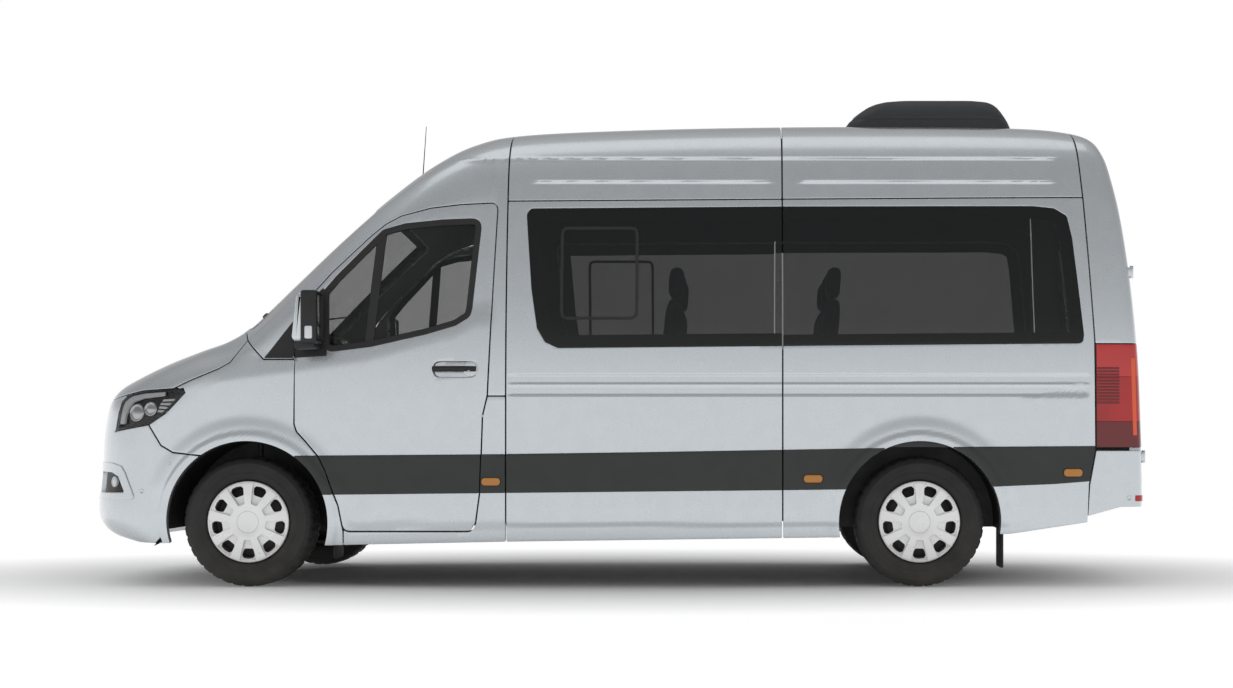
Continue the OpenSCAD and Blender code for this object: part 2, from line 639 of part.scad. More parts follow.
// ---------------------------------------------------------------------------------------------
// Inside
// ---------------------------------------------------------------------------------------------
module across(y0, y1) translate([0, y1, 0]) rotate([90, 0, 0]) linear_extrude(y1 - y0) children();
module dashboard() color("#2f3133") {
    across(-half_w + door_t + 60, half_w - door_t - 60)
        polygon(placed([[-1860, 1240], [-1840, 1310], [-1740, 1345], [-1650, 1335], [-1600, 1200], [-1650, 1000],
            [-1760, 960], [-1820, 1080]]));
}
steer_at = [sx(-1500), -400, sz(1300)];
module steering_wheel() color("#202224") {
    translate(steer_at) rotate([0, 32, 0]) {
        rotate_extrude($fn = 64) translate([185, 0]) circle(r = 15);
        translate([0, 0, -30]) cylinder(r = 62, h = 34);
        for (a = [-90, 20, 160]) rotate([0, 0, a]) translate([40, -16, -14]) cube([140, 32, 16]);
        translate([0, 0, -150]) cylinder(r = 26, h = 125);
    }
}
SEAT = [[0, 0], [-30, 60], [-10, 120], [420, 110], [470, 620], [580, 640], [600, 600], [530, 60], [480, -40]];
module seat(w, base_h) {
    across(-w / 2 + 8, w / 2 - 8) polygon(SEAT);
    across(-120, 120) polygon([[478, 600], [492, 800], [580, 812], [590, 630]]);
    translate([40, -w / 2 + 40, -base_h]) cube([400, w - 80, base_h + 10]);
}
module cab_seats() color("#33363a") {
    translate([sx(-1180), steer_at[1], cab_floor + 330]) seat(520, 310);
    for (y = [190, 640]) translate([sx(-1180), y, cab_floor + 330]) seat(450, 310);
}
row_1 = -175;
row_y = -150;
module passenger_seats() color("#33363a") {
    for (row = [0, 1]) for (k = [-1, 0, 1])
        translate([sx(row_1) + row * seat_pitch, k * (seat_w + 6) + row_y, floor_z + 330]) seat(seat_w, 329);
}

// ---------------------------------------------------------------------------------------------
// On the roof
// ---------------------------------------------------------------------------------------------
seat_gap = 0.3;
// Slices of the unit: height above the roof, front, rear, half width
UNIT = [[-12, 1330, 2297, 430], [15, 1336, 2296, 430], [75, 1388, 2264, 418], [131, 1463, 2226, 398],
    [160, 1535, 2189, 368], [172, 1610, 2130, 325], [180, 1680, 2070, 200]];
module roof_air_unit() color("#33373a") {
    on_body() hull() for (u = UNIT)
        translate([sx(u[1]), -u[3], roof_height + u[0]]) cube([sx(u[2]) - sx(u[1]), 2 * u[3], 1]);
}
module antenna() color("#17181a") {
    on_body() translate([sx(-1128), -300, sz(2290)]) rotate([0, 4, 0]) {
        cylinder(r1 = 18, r2 = 10, h = 56);
        cylinder(r = 3, h = 345, $fn = 16);
    }
}

// ---------------------------------------------------------------------------------------------
// Wheels, spinning about Y
// ---------------------------------------------------------------------------------------------
bead_r = bead_d / 2;
flange_r = bead_r + 17;
flange_w = 8;
module tyre() color("#1b1c1d") rotate([90, 0, 0]) rotate_extrude($fn = 96) {
    h = tyre_w / 2;
    b = rim_w / 2 - 1;
    side = tyre_r - flange_r;
    half = [[bead_r + 0.5, b], [flange_r + 3, b], [flange_r + 9, b + 15], [flange_r + 0.22 * side, h - 5],
        [flange_r + 0.47 * side, h], [tyre_r - 38, h - 5], [tyre_r - 15, h - 15], [tyre_r - 4, h - 30],
        [tyre_r, h - 46]];
    polygon(concat(half, [for (k = [len(half) - 1:-1:0]) [half[k][0], -half[k][1]]]));
}
// A stub axle turns in the bore of its wheel's hub
stub_r = 30;
stub_reach = 20;
running_gap = 0.05;
// A rim with its disc and its spoked cover, the outer face along -Y
module wheel() rotate([90, 0, 0]) difference() {
    f = rim_w / 2;
    union() {
        // Rim, in section from the inner flange to the outer one
        rotate_extrude($fn = 96) polygon([[bead_r, -f], [bead_r, f], [flange_r, f], [flange_r, f + flange_w],
            [bead_r - 6, f + flange_w], [bead_r - 14, f - 16], [bead_r - 14, -f - flange_w + 6],
            [bead_r - 6, -f - flange_w], [flange_r, -f - flange_w], [flange_r, -f]]);
        // Disc
        translate([0, 0, 34]) cylinder(r = bead_r - 13.5, h = 10);
        cylinder(r = stub_r + 24, h = 34.5);
        // Cover
        rotate_extrude($fn = 96) polygon([[0, 70], [0, f + 26], [48, f + 26], [130, f + 20], [bead_r - 20, f + 15],
            [cover_d / 2, f + 17], [cover_d / 2, f + 8.5], [bead_r - 8, f + 8], [130, f + 6], [70, 60]]);
        cylinder(r = 60, h = 72);
    }
    translate([0, 0, -1]) cylinder(r = stub_r + running_gap, h = stub_reach + 6);
    // Openings between the spokes
    for (k = [0:spokes - 1]) rotate([0, 0, 90 + (k + 0.5) * 360 / spokes]) translate([150, 0, 55])
        cylinder(r = 31, h = 80);
}
module at_wheel(x, side) translate([x, side * wheel_y, tyre_r]) rotate([0, 0, side > 0 ? 180 : 0]) children();

cab_frame();
roof_panel();
side_wall_left();
side_wall_right();
sliding_door();
rear_frame();
front_wings();
front_bumper();
rear_bumper();
grille();
headlamps();
tail_lamps();
windscreen();
side_windows();
bonnet();
color("#c3cad1") cab_door();  // cab_door_left
color("#c3cad1") right_side() cab_door();  // cab_door_right
color("#38424a") cab_glass();  // cab_glass_left
color("#38424a") right_side() cab_glass();  // cab_glass_right
color("#26282a") door_mirror();  // mirror_left
color("#26282a") right_side() door_mirror();  // mirror_right
color("#b0b9c1") rear_door();  // rear_door_left
color("#b0b9c1") right_side() rear_door();  // rear_door_right
color("#2c3134") rear_glass();  // rear_glass_left
color("#2c3134") right_side() rear_glass();  // rear_glass_right
floor_pan();
wheel_housings();
front_axle();
rear_axle();
color("#3c4043") knuckle();  // knuckle_left
color("#3c4043") right_side() knuckle();  // knuckle_right
engine();
fuel_tank();
exhaust();
mudflaps();
dashboard();
steering_wheel();
cab_seats();
passenger_seats();
roof_air_unit();
antenna();
at_wheel(axle_f, -1) tyre();  // tyre_front_left
at_wheel(axle_f, 1) tyre();  // tyre_front_right
at_wheel(axle_r, -1) tyre();  // tyre_rear_left
at_wheel(axle_r, 1) tyre();  // tyre_rear_right
color("#d8dadb") at_wheel(axle_f, -1) wheel();  // wheel_front_left
color("#d8dadb") at_wheel(axle_f, 1) wheel();  // wheel_front_right
color("#d8dadb") at_wheel(axle_r, -1) wheel();  // wheel_rear_left
color("#d8dadb") at_wheel(axle_r, 1) wheel();  // wheel_rear_right
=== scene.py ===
# %% [markdown]
# # A high-roof minibus
# The CAD model gives this vehicle its sizes, its panels and its hinges. This lesson dresses it: it lays a fine,
# smooth skin over the same body surface, cuts the panels out of that skin, rolls their edges, and then adds the
# glass, the lamps, the wheels, the mouldings and the cabin.

import json
import math

import bmesh
import bpy
import numpy as np
from mathutils import Matrix, Vector

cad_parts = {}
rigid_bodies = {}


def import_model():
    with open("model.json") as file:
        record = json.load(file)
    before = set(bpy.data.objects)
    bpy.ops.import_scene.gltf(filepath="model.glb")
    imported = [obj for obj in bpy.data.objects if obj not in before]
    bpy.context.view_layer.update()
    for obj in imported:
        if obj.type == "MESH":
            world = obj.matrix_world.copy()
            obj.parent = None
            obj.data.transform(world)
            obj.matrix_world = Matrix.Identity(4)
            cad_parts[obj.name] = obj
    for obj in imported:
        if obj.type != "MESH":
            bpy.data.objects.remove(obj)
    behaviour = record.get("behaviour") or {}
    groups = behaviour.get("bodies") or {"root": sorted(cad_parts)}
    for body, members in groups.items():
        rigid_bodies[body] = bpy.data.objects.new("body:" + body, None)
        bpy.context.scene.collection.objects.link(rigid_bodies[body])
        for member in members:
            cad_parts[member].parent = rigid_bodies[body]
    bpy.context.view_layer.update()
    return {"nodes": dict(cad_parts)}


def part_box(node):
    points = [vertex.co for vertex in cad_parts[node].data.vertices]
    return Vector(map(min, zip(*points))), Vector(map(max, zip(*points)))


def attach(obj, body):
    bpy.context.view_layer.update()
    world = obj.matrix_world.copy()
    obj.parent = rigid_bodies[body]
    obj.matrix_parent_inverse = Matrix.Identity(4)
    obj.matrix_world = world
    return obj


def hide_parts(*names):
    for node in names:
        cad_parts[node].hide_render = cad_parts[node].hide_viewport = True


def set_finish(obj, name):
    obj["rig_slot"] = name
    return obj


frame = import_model()
scene = bpy.context.scene
MM = 0.001
print("CAD nodes:", len(frame["nodes"]))

# %% [markdown]
# ## Camera
# The side of the vehicle is seen square on, from a low eye a little behind its middle. A camera that looks
# straight along +Y keeps the side's lines level, so the framing is done with lens shift and not by turning it.

# %% Camera
EYE = Vector((0.69, -10.69, 0.80))
camera_data = bpy.data.cameras.new("camera")
camera_data.sensor_width = 36
camera_data.lens = 52.0
camera_data.shift_x = -0.0952
camera_data.shift_y = 0.0783
camera = bpy.data.objects.new("camera", camera_data)
camera.location = EYE
camera.rotation_euler = (math.radians(90), 0, 0)
scene.collection.objects.link(camera)
scene.camera = camera

# %% [markdown]
# ## Shared shader effects
# Real paint, plastic and rubber are never one flat value. Three node groups carry what the finishes share:
# fine grain as a bump height, a slow cloudy variation, and dust that gathers low down.

# %% Node group helpers
def group(name, inputs, outputs):
    """A node group with named inputs (name, default) and float outputs."""
    tree = bpy.data.node_groups.new(name, "ShaderNodeTree")
    for label, value in inputs:
        socket = tree.interface.new_socket(label, in_out="INPUT", socket_type="NodeSocketFloat")
        socket.default_value = value
    for label in outputs:
        tree.interface.new_socket(label, in_out="OUTPUT", socket_type="NodeSocketFloat")
    return tree, tree.nodes.new("NodeGroupInput"), tree.nodes.new("NodeGroupOutput")


def noise_node(tree, scale, detail=3.0):
    """A noise texture on Object coordinates."""
    place = tree.nodes.new("ShaderNodeTexCoord")
    noise = tree.nodes.new("ShaderNodeTexNoise")
    noise.inputs["Scale"].default_value = scale
    noise.inputs["Detail"].default_value = detail
    tree.links.new(place.outputs["Object"], noise.inputs["Vector"])
    return noise


def ranged(tree, value, low, high, out_low=0.0, out_high=1.0):
    """A Map Range node that carries value from one range to another."""
    node = tree.nodes.new("ShaderNodeMapRange")
    tree.links.new(value, node.inputs["Value"])
    for label, number in (("From Min", low), ("From Max", high), ("To Min", out_low), ("To Max", out_high)):
        node.inputs[label].default_value = number
    return node.outputs["Result"]


def math_node(tree, operation, a, b):
    """A Math node; a and b are sockets or numbers."""
    node = tree.nodes.new("ShaderNodeMath")
    node.operation = operation
    for slot_index, value in enumerate((a, b)):
        if isinstance(value, (int, float)):
            node.inputs[slot_index].default_value = value
        else:
            tree.links.new(value, node.inputs[slot_index])
    return node.outputs[0]


# %% Node groups
grain, grain_in, grain_out = group("grain", [("Scale", 900.0)], ["Height"])
grain_noise = noise_node(grain, 900.0, 4.0)
grain.links.new(grain_in.outputs["Scale"], grain_noise.inputs["Scale"])
grain.links.new(grain_noise.outputs["Fac"], grain_out.inputs["Height"])

cloud, cloud_in, cloud_out = group("cloud", [("Scale", 2.0), ("Low", 0.0), ("High", 1.0)], ["Value"])
cloud_noise = noise_node(cloud, 2.0, 5.0)
cloud.links.new(cloud_in.outputs["Scale"], cloud_noise.inputs["Scale"])
cloud_span = math_node(cloud, "SUBTRACT", cloud_in.outputs["High"], cloud_in.outputs["Low"])
cloud_fac = ranged(cloud, cloud_noise.outputs["Fac"], 0.35, 0.65)
cloud_value = math_node(cloud, "ADD", math_node(cloud, "MULTIPLY", cloud_fac, cloud_span),
                        cloud_in.outputs["Low"])
cloud.links.new(cloud_value, cloud_out.inputs["Value"])

# Road dust: strongest near the road, broken up by noise
dust, dust_in, dust_out = group("dust", [("Top", 0.6), ("Amount", 0.2)], ["Mask"])
dust_place = dust.nodes.new("ShaderNodeTexCoord")
dust_split = dust.nodes.new("ShaderNodeSeparateXYZ")
dust.links.new(dust_place.outputs["Object"], dust_split.inputs[0])
dust_height = math_node(dust, "DIVIDE", dust_split.outputs["Z"], dust_in.outputs["Top"])
dust_low = ranged(dust, dust_height, 1.0, 0.0)
dust_noise = ranged(dust, noise_node(dust, 9.0, 6.0).outputs["Fac"], 0.3, 0.7, 0.4, 1.0)
dust_mask = math_node(dust, "MULTIPLY", math_node(dust, "MULTIPLY", dust_low, dust_noise),
                      dust_in.outputs["Amount"])
dust.links.new(dust_mask, dust_out.inputs["Mask"])
print("node groups:", [g.name for g in bpy.data.node_groups])

# %% [markdown]
# ## Finishes
# Every material is a Principled shader. Its plain numbers sit on its own sockets, and the groups above feed its
# colour, roughness and bump, so each finish has grain and variation at the real scale.

# %% Material maker
def material(name, color, roughness=0.5, metallic=0.0, grain_scale=None, bump=0.0, vary=0.06, dusty=0.0,
             coat=0.0, blend_to=None, **sockets):
    """A Principled material whose colour and roughness vary a little, with optional grain and road dust."""
    mat = bpy.data.materials.new(name)
    mat.use_nodes = True
    tree = mat.node_tree
    shader = tree.nodes["Principled BSDF"]
    shader.inputs["Metallic"].default_value = metallic
    shader.inputs["Coat Weight"].default_value = coat
    shader.inputs["Coat Roughness"].default_value = 0.04
    for label, value in sockets.items():
        shader.inputs[label.replace("_", " ")].default_value = value
    tone = tree.nodes.new("ShaderNodeGroup")
    tone.node_tree = cloud
    tone.inputs["Scale"].default_value = 3.0
    mix = tree.nodes.new("ShaderNodeMix")
    mix.data_type = "RGBA"
    other = blend_to or tuple(c * (1 - vary) for c in color)
    mix.inputs["A"].default_value = (*color, 1)
    mix.inputs["B"].default_value = (*other, 1)
    tree.links.new(tone.outputs["Value"], mix.inputs["Factor"])
    base = mix.outputs["Result"]
    rough = tree.nodes.new("ShaderNodeGroup")
    rough.node_tree = cloud
    rough.inputs["Scale"].default_value = 11.0
    rough.inputs["Low"].default_value = roughness * 0.92
    rough.inputs["High"].default_value = min(1.0, roughness * 1.1)
    rough_value = rough.outputs["Value"]
    if dusty:
        film = tree.nodes.new("ShaderNodeGroup")
        film.node_tree = dust
        film.inputs["Amount"].default_value = dusty
        dirt = tree.nodes.new("ShaderNodeMix")
        dirt.data_type = "RGBA"
        tree.links.new(film.outputs["Mask"], dirt.inputs["Factor"])
        tree.links.new(base, dirt.inputs["A"])
        dirt.inputs["B"].default_value = (0.34, 0.31, 0.27, 1)
        base = dirt.outputs["Result"]
        rough_value = math_node(tree, "ADD", rough_value,
                                math_node(tree, "MULTIPLY", film.outputs["Mask"], 0.4))
    tree.links.new(base, shader.inputs["Base Color"])
    tree.links.new(rough_value, shader.inputs["Roughness"])
    if grain_scale:
        fine = tree.nodes.new("ShaderNodeGroup")
        fine.node_tree = grain
        fine.inputs["Scale"].default_value = grain_scale
        lift = tree.nodes.new("ShaderNodeBump")
        lift.inputs["Strength"].default_value = bump
        lift.inputs["Distance"].default_value = 0.0006
        tree.links.new(fine.outputs["Height"], lift.inputs["Height"])
        tree.links.new(lift.outputs["Normal"], shader.inputs["Normal"])
    return mat


# %% Finishes of this vehicle
PAINT = material("silver_paint", (0.60, 0.64, 0.675), 0.27, 0.78, vary=0.0, coat=1.0)
LINING = material("lining", (0.30, 0.30, 0.31), 0.72, 0.0, 700, 0.35)
BLACK = material("black_plastic", (0.012, 0.012, 0.013), 0.5, 0.0, 1400, 0.35, 0.2, 0.08)
BAND = material("charcoal_plastic", (0.026, 0.029, 0.029), 0.46, 0.0, 1500, 0.4, 0.12, 0.10)
GLOSS = material("gloss_black", (0.012, 0.012, 0.013), 0.12, 0.0, coat=0.5)
RUBBER = material("rubber_seal", (0.016, 0.016, 0.017), 0.62, 0.0, 900, 0.3, 0.2)
CHASSIS = material("chassis_black", (0.020, 0.020, 0.021), 0.55, 0.2, 500, 0.4, 0.3, 0.25)
CHROME = material("bright_metal", (0.78, 0.79, 0.80), 0.16, 1.0)
STEEL = material("dull_steel", (0.32, 0.32, 0.33), 0.4, 1.0, 800, 0.25, 0.2, 0.2)
UNIT = material("unit_plastic", (0.030, 0.033, 0.036), 0.5, 0.0, 1100, 0.4, 0.15)
GLASS = material("tinted_glass", (0.010, 0.012, 0.012), 0.02, 0.0, vary=0.0, Alpha=0.38)
PRIVACY = material("privacy_glass", (0.008, 0.009, 0.010), 0.02, 0.0, vary=0.0, Alpha=0.56)
LENS = material("clear_lens", (0.02, 0.02, 0.02), 0.02, 0.0, vary=0.0, Alpha=0.16)
RED_DARK = material("red_lens_dark", (0.15, 0.004, 0.006), 0.10, 0.0, coat=0.25)
RED_PALE = material("red_lens_pale", (0.55, 0.035, 0.035), 0.10, 0.0, coat=0.25)
ORANGE = material("orange_lens", (0.80, 0.10, 0.02), 0.10, 0.0, coat=0.25)
RED = material("red_lens", (0.46, 0.008, 0.010), 0.08, 0.0, coat=0.25, blend_to=(0.30, 0.008, 0.010))
AMBER = material("amber_lens", (0.52, 0.19, 0.004), 0.10, 0.0, coat=0.6)
WHITE_LENS = material("white_lens", (0.72, 0.74, 0.76), 0.10, 0.0, coat=0.6)
RIM = material("wheel_lacquer", (0.90, 0.905, 0.905), 0.28, 0.35, 1800, 0.08, 0.05, 0.06, coat=0.4)
TYRE = material("tyre_rubber", (0.009, 0.009, 0.0095), 0.62, 0.0, 500, 0.4, 0.25, 0.12)
CLOTH = material("seat_cloth", (0.055, 0.060, 0.072), 0.85, 0.0, 1600, 0.6, 0.3, Sheen_Weight=0.3)
DASH = material("dash_plastic", (0.045, 0.045, 0.048), 0.6, 0.0, 1200, 0.4)
print("finishes:", len(bpy.data.materials))

# %% [markdown]
# ## The body's surface
# The body is one continuous form. Ribs stand along its centre line like the frames of a boat, from under the front
# bumper, up the bonnet and the screen, along the roof and down the tail. Each rib gives its middle point, the way
# from there to the shoulder where the side wall starts, how square its corner is, and where its foot stands.

# %% Ribs of the body, in millimetres, as in the CAD model
RIBS = np.array([
    [-2640, 222, 200, 6, 2.4, -2440], [-2860, 268, 370, 20, 2.4, -2428], [-2948, 340, 440, 10, 2.5, -2414],
    [-2966, 425, 470, 0, 2.6, -2398], [-2952, 530, 465, -20, 2.6, -2378], [-2940, 660, 465, -40, 2.6, -2354],
    [-2932, 800, 480, -60, 2.7, -2326], [-2912, 930, 490, -90, 2.8, -2292],
    [-2880, 1032, 480, -130, 2.9, -2252],
    [-2810, 1108, 430, -170, 3.0, -2204], [-2680, 1176, 340, -210, 3.2, -2142],
    [-2500, 1254, 220, -240, 3.4, -2062],
    [-2310, 1325, 130, -240, 3.4, -1962], [-2140, 1388, 100, -220, 3.2, -1862],
    [-2015, 1478, 150, -190, 3.0, -1766],
    [-1780, 1712, 170, -170, 2.9, -1590], [-1520, 1966, 150, -190, 2.9, -1370],
    [-1270, 2196, 110, -260, 3.0, -1150],
    [-1010, 2394, 70, -350, 3.3, -930], [-770, 2510, 30, -430, 3.8, -720], [-480, 2558, 0, -462, 4.4, -470],
    [200, 2588, 0, -476, 4.6, 200], [1000, 2604, 0, -480, 4.6, 1000], [1750, 2605, 0, -474, 4.6, 1700],
    [2260, 2596, -10, -450, 4.6, 2150], [2530, 2574, -30, -390, 4.6, 2390], [2690, 2520, -80, -260, 4.8, 2480],
    [2765, 2410, -110, -130, 5.0, 2540], [2808, 2250, -115, -60, 5.4, 2590], [2852, 2010, -120, -20, 5.8, 2640],
    [2895, 1650, -120, 0, 6.0, 2690], [2925, 1280, -120, 0, 6.0, 2740], [2942, 860, -120, 0, 6.0, 2785],
    [2950, 600, -120, 0, 6.0, 2812], [2950, 420, -120, 0, 6.0, 2828]])
SILL = np.array([[-2700, 226], [-2297, 230], [-1438, 232], [-550, 250], [1143, 272], [2200, 294], [2650, 362],
                 [2900, 385]])
HALF_WIDTH = 1000
AXLE_F = -1962
AXLE_R = 1703
TYRE_R = 356
ARCH_R = 441


def half_width(x, z):
    """Half the body's width at a place on its side: it narrows at the nose and tail, upwards and at the sill."""
    nose = np.where(x < -1700, 60 * np.clip((x + 1700) / 1266, -2, 0) ** 2, 0)
    tail = np.where(x > 1800, 25 * np.clip((x - 1800) / 1166, 0, 2) ** 2, 0)
    lean = np.where(z > 1000, 100 * np.clip((z - 1000) / 1100, 0, 2) ** 2, 0)
    tuck = np.where(z < 450, 14 * np.clip((450 - z) / 200, 0, 2) ** 2, 0)
    return HALF_WIDTH - nose - tail - lean - tuck


def rib_between(s):
    """Ribs at fractional places, on a smooth curve through the drawn ones."""
    last = len(RIBS) - 1
    i = np.floor(s).astype(int)
    t = (s - i)[:, None]
    a, b, c, d = (RIBS[np.clip(i + k, 0, last)] for k in (-1, 0, 1, 2))
    return 0.5 * (2 * b + (c - a) * t + (2 * a - 5 * b + 4 * c - d) * t ** 2 + (3 * b - a - 3 * c + d) * t ** 3)


def surface(s, w):
    """Body points. s runs along the ribs; w runs round them: 0 left foot, 1 shoulder, 2 crown, 3, 4 right foot."""
    r = rib_between(s)
    up = np.where(w > 2, 4 - w, w)
    foot_x = r[:, 5]
    foot_z = np.interp(foot_x, SILL[:, 0], SILL[:, 1])
    share = np.clip(up, 0, 1)
    wall_x = foot_x + (r[:, 0] + r[:, 2] - foot_x) * share
    wall_z = foot_z + (r[:, 1] + r[:, 3] - foot_z) * share
    angle = np.radians(90 * np.clip(2 - up, 0, 1))
    inward = 1 - np.cos(angle) ** (2 / r[:, 4])
    outward = np.sin(angle) ** (2 / r[:, 4])
    over_x = r[:, 0] + inward * r[:, 2]
    over_z = r[:, 1] + inward * r[:, 3]
    on_wall = up < 1
    x = np.where(on_wall, wall_x, over_x)
    z = np.where(on_wall, wall_z, over_z)
    y = -np.where(on_wall, 1.0, outward) * half_width(x, z)
    return np.stack([x, np.where(w > 2, -y, y), z], axis=1)


# %% [markdown]
# ## Pressed shapes
# The steel is not plain: it has lips round the wheel arches, a swage under the cab window, a shallow channel along
# the waist, beads along the roof and a power bulge in the bonnet. Each is a smooth step or ridge that moves the
# surface a few millimetres along its normal, which is how a press tool raises it.

# %% Pressings
def step(value, start, width):
    """0 before start, 1 after start + width, smooth between."""
    t = np.clip((value - start) / width, 0, 1)
    return t * t * (3 - 2 * t)


def ridge(value, middle, width):
    """A round-topped ridge."""
    t = np.clip(np.abs(value - middle) / (width / 2), 0, 1)
    return (1 - t * t) ** 2


BELT = np.array([[-2400, 1075], [-2000, 1140], [-1668, 1184], [-1320, 1238], [-835, 1374], [-700, 1440]])
CHANNEL = (1040, 1165)
BEADS = (2226, 2358)


def pressing(p):
    """How far the steel is raised at each body point, in millimetres."""
    x, y, z = p[:, 0], np.abs(p[:, 1]), p[:, 2]
    side = step(y, 780, 120)
    raised = np.zeros(len(p))
    for axle, reach in ((AXLE_F, 150), (AXLE_R, 150)):
        r = np.hypot(x - axle, z - TYRE_R)
        lip = step(-r, -(ARCH_R + 52), 14)
        brow = step(-r, -(ARCH_R + reach), reach - 60) * step(z, 420, 160)
        raised += side * (7 * lip + 8 * brow)
    belt_z = np.interp(x, BELT[:, 0], BELT[:, 1])
    above = z - belt_z
    in_cab = step(x, -2350, 300) * step(-x, 600, 60)
    raised -= 0.13 * in_cab * side * np.clip(above, 0, 110)
    rear = step(x, -540, 30) * step(-x, -2640, 40)
    channel = step(z, CHANNEL[0], 14) * (1 - step(z, CHANNEL[1] - 14, 14))
    raised -= 6 * rear * side * channel
    raised += 3.5 * rear * side * ridge(z, 1104, 26)
    raised -= 5 * side * (1 - step(z, 338, 8)) * step(x, -1430, 30) * step(-x, -2200, 40)
    beads = ridge(z, BEADS[1], 22) * step(x, -900, 120) * step(-x, -2500, 60)
    low_split = 1 - step(x, 880, 30) * (1 - step(x, 1040, 30))
    beads = beads + ridge(z, BEADS[0], 22) * step(x, -440, 60) * step(-x, -2480, 60) * low_split
    raised += 6 * beads * step(y, 700, 80)
    bonnet = step(-x, 2060, 160) * step(z, 1040, 60) * step(-x, -2900, 60)
    raised += 10 * bonnet * (1 - step(y, 330, 70))
    return raised


# %% Skins: fine grids laid over the surface
def skin(name, s_first, s_last, w_values, spacing):
    """A thin closed shell over part of the body, its outer faces in material slot 0."""
    s_values = [s_first]
    for i in range(math.floor(s_first), math.ceil(s_last)):
        a, b = max(i, s_first), min(i + 1, s_last)
        ends = rib_between(np.array([a, b], float))
        reach = max(np.hypot(*(ends[1, :2] - ends[0, :2])), abs(ends[1, 5] - ends[0, 5]))
        count = max(2, math.ceil(reach / spacing))
        s_values += [a + (b - a) * k / count for k in range(1, count + 1)]
    s_values = np.clip(np.array(s_values, float), 0, len(RIBS) - 1 - 1e-6)
    w_values = np.array(w_values, float)
    bm = bmesh.new()
    bmesh.ops.create_grid(bm, x_segments=len(s_values) - 1, y_segments=len(w_values) - 1, size=1)
    mesh = bpy.data.meshes.new(name)
    bm.to_mesh(mesh)
    bm.free()
    flat = np.zeros(len(mesh.vertices) * 3)
    mesh.vertices.foreach_get("co", flat)
    flat = flat.reshape(-1, 3)
    i = np.rint((flat[:, 0] + 1) / 2 * (len(s_values) - 1)).astype(int)
    j = np.rint((flat[:, 1] + 1) / 2 * (len(w_values) - 1)).astype(int)
    s, w = s_values[i], w_values[j]
    points = surface(s, w)
    tiny = 0.004
    along = surface(np.clip(s + tiny, 0, 33.99), w) - surface(np.clip(s - tiny, 0, 33.99), w)
    round_ = surface(s, np.clip(w + tiny, 0, 4)) - surface(s, np.clip(w - tiny, 0, 4))
    normal = np.cross(round_, along)
    normal /= np.maximum(np.linalg.norm(normal, axis=1), 1e-9)[:, None]
    middle = np.array([0, 0, 1200])
    normal *= np.sign(np.sum(normal * (points - middle), axis=1))[:, None]
    points += normal * pressing(points)[:, None]
    mesh.vertices.foreach_set("co", (points * MM).ravel())
    obj = bpy.data.objects.new(name, mesh)
    scene.collection.objects.link(obj)
    for k in range(4):
        mesh.materials.append(None)
    bm = bmesh.new()
    bm.from_mesh(mesh)
    face = min(bm.faces, key=lambda f: f.calc_center_median().y)
    if face.normal.y > 0:
        bmesh.ops.reverse_faces(bm, faces=bm.faces)
    bm.to_mesh(mesh)
    bm.free()
    thick = obj.modifiers.new("shell", "SOLIDIFY")
    thick.thickness = 6 * MM
    thick.offset = -1
    thick.material_offset = 1
    thick.material_offset_rim = 1
    apply_modifiers(obj)
    print(name, len(obj.data.polygons), "faces")
    return obj


def apply_modifiers(obj):
    """Makes an object's modifiers part of its mesh."""
    evaluated = obj.evaluated_get(bpy.context.evaluated_depsgraph_get())
    mesh = bpy.data.meshes.new_from_object(evaluated)
    obj.modifiers.clear()
    obj.data = mesh


def spread(start, stop, count):
    """Evenly spread values."""
    return [start + (stop - start) * k / count for k in range(count + 1)]


WALL_FINE = spread(0, 1, 70)
FRONT_RING = WALL_FINE + spread(1, 3, 90)[1:-1] + [4 - w for w in reversed(WALL_FINE)]
TAIL_RING = spread(0, 1, 60) + spread(1, 3, 90)[1:-1] + spread(3, 4, 60)
front_skin = skin("front_skin", 0, 20.4, FRONT_RING, 16)
SIDE_ROWS = spread(0, 0.4, 56) + spread(0.4, 0.5, 44)[1:] + spread(0.5, 1, 64)[1:] + spread(1, 1.5, 20)[1:]
side_skin = skin("side_skin", 19.6, 33.9, SIDE_ROWS, 18)
SHOULDER_ROWS = [2 - math.degrees(math.acos(min(1,
                                                (1 - (2588 - z) / 476) ** 2.3))) / 90 for z in range(2116, 2400, 6)]
ROOF_ROWS = spread(0.84, 1, 14) + SHOULDER_ROWS
roof_skin = skin("roof_skin", 19.8, 28.5,
                 ROOF_ROWS + spread(SHOULDER_ROWS[-1], 4 - SHOULDER_ROWS[-1],
                                    80)[1:-1] + [4 - w for w in reversed(ROOF_ROWS)],
                 26)
tail_skin = skin("tail_skin", 23.5, 34, TAIL_RING, 14)
coarse_side = skin("coarse_side", 19.6, 33.9, spread(0, 1.5, 24), 90)
coarse_roof = skin("coarse_roof", 19.8, 28.5, spread(0.84, 3.16, 30), 90)
SKINS = [front_skin, side_skin, roof_skin, tail_skin, coarse_side, coarse_roof]

# %% [markdown]
# ## Cutting a panel
# A panel is the stretch of skin inside its outline. The outline is pushed through the body as a prism, a Boolean
# keeps what is inside it, and only the outer faces are kept. Then the edge is rolled inwards in small steps, as a
# hemmed steel edge is, and taken back to the panel's full depth, where a lining closes it.

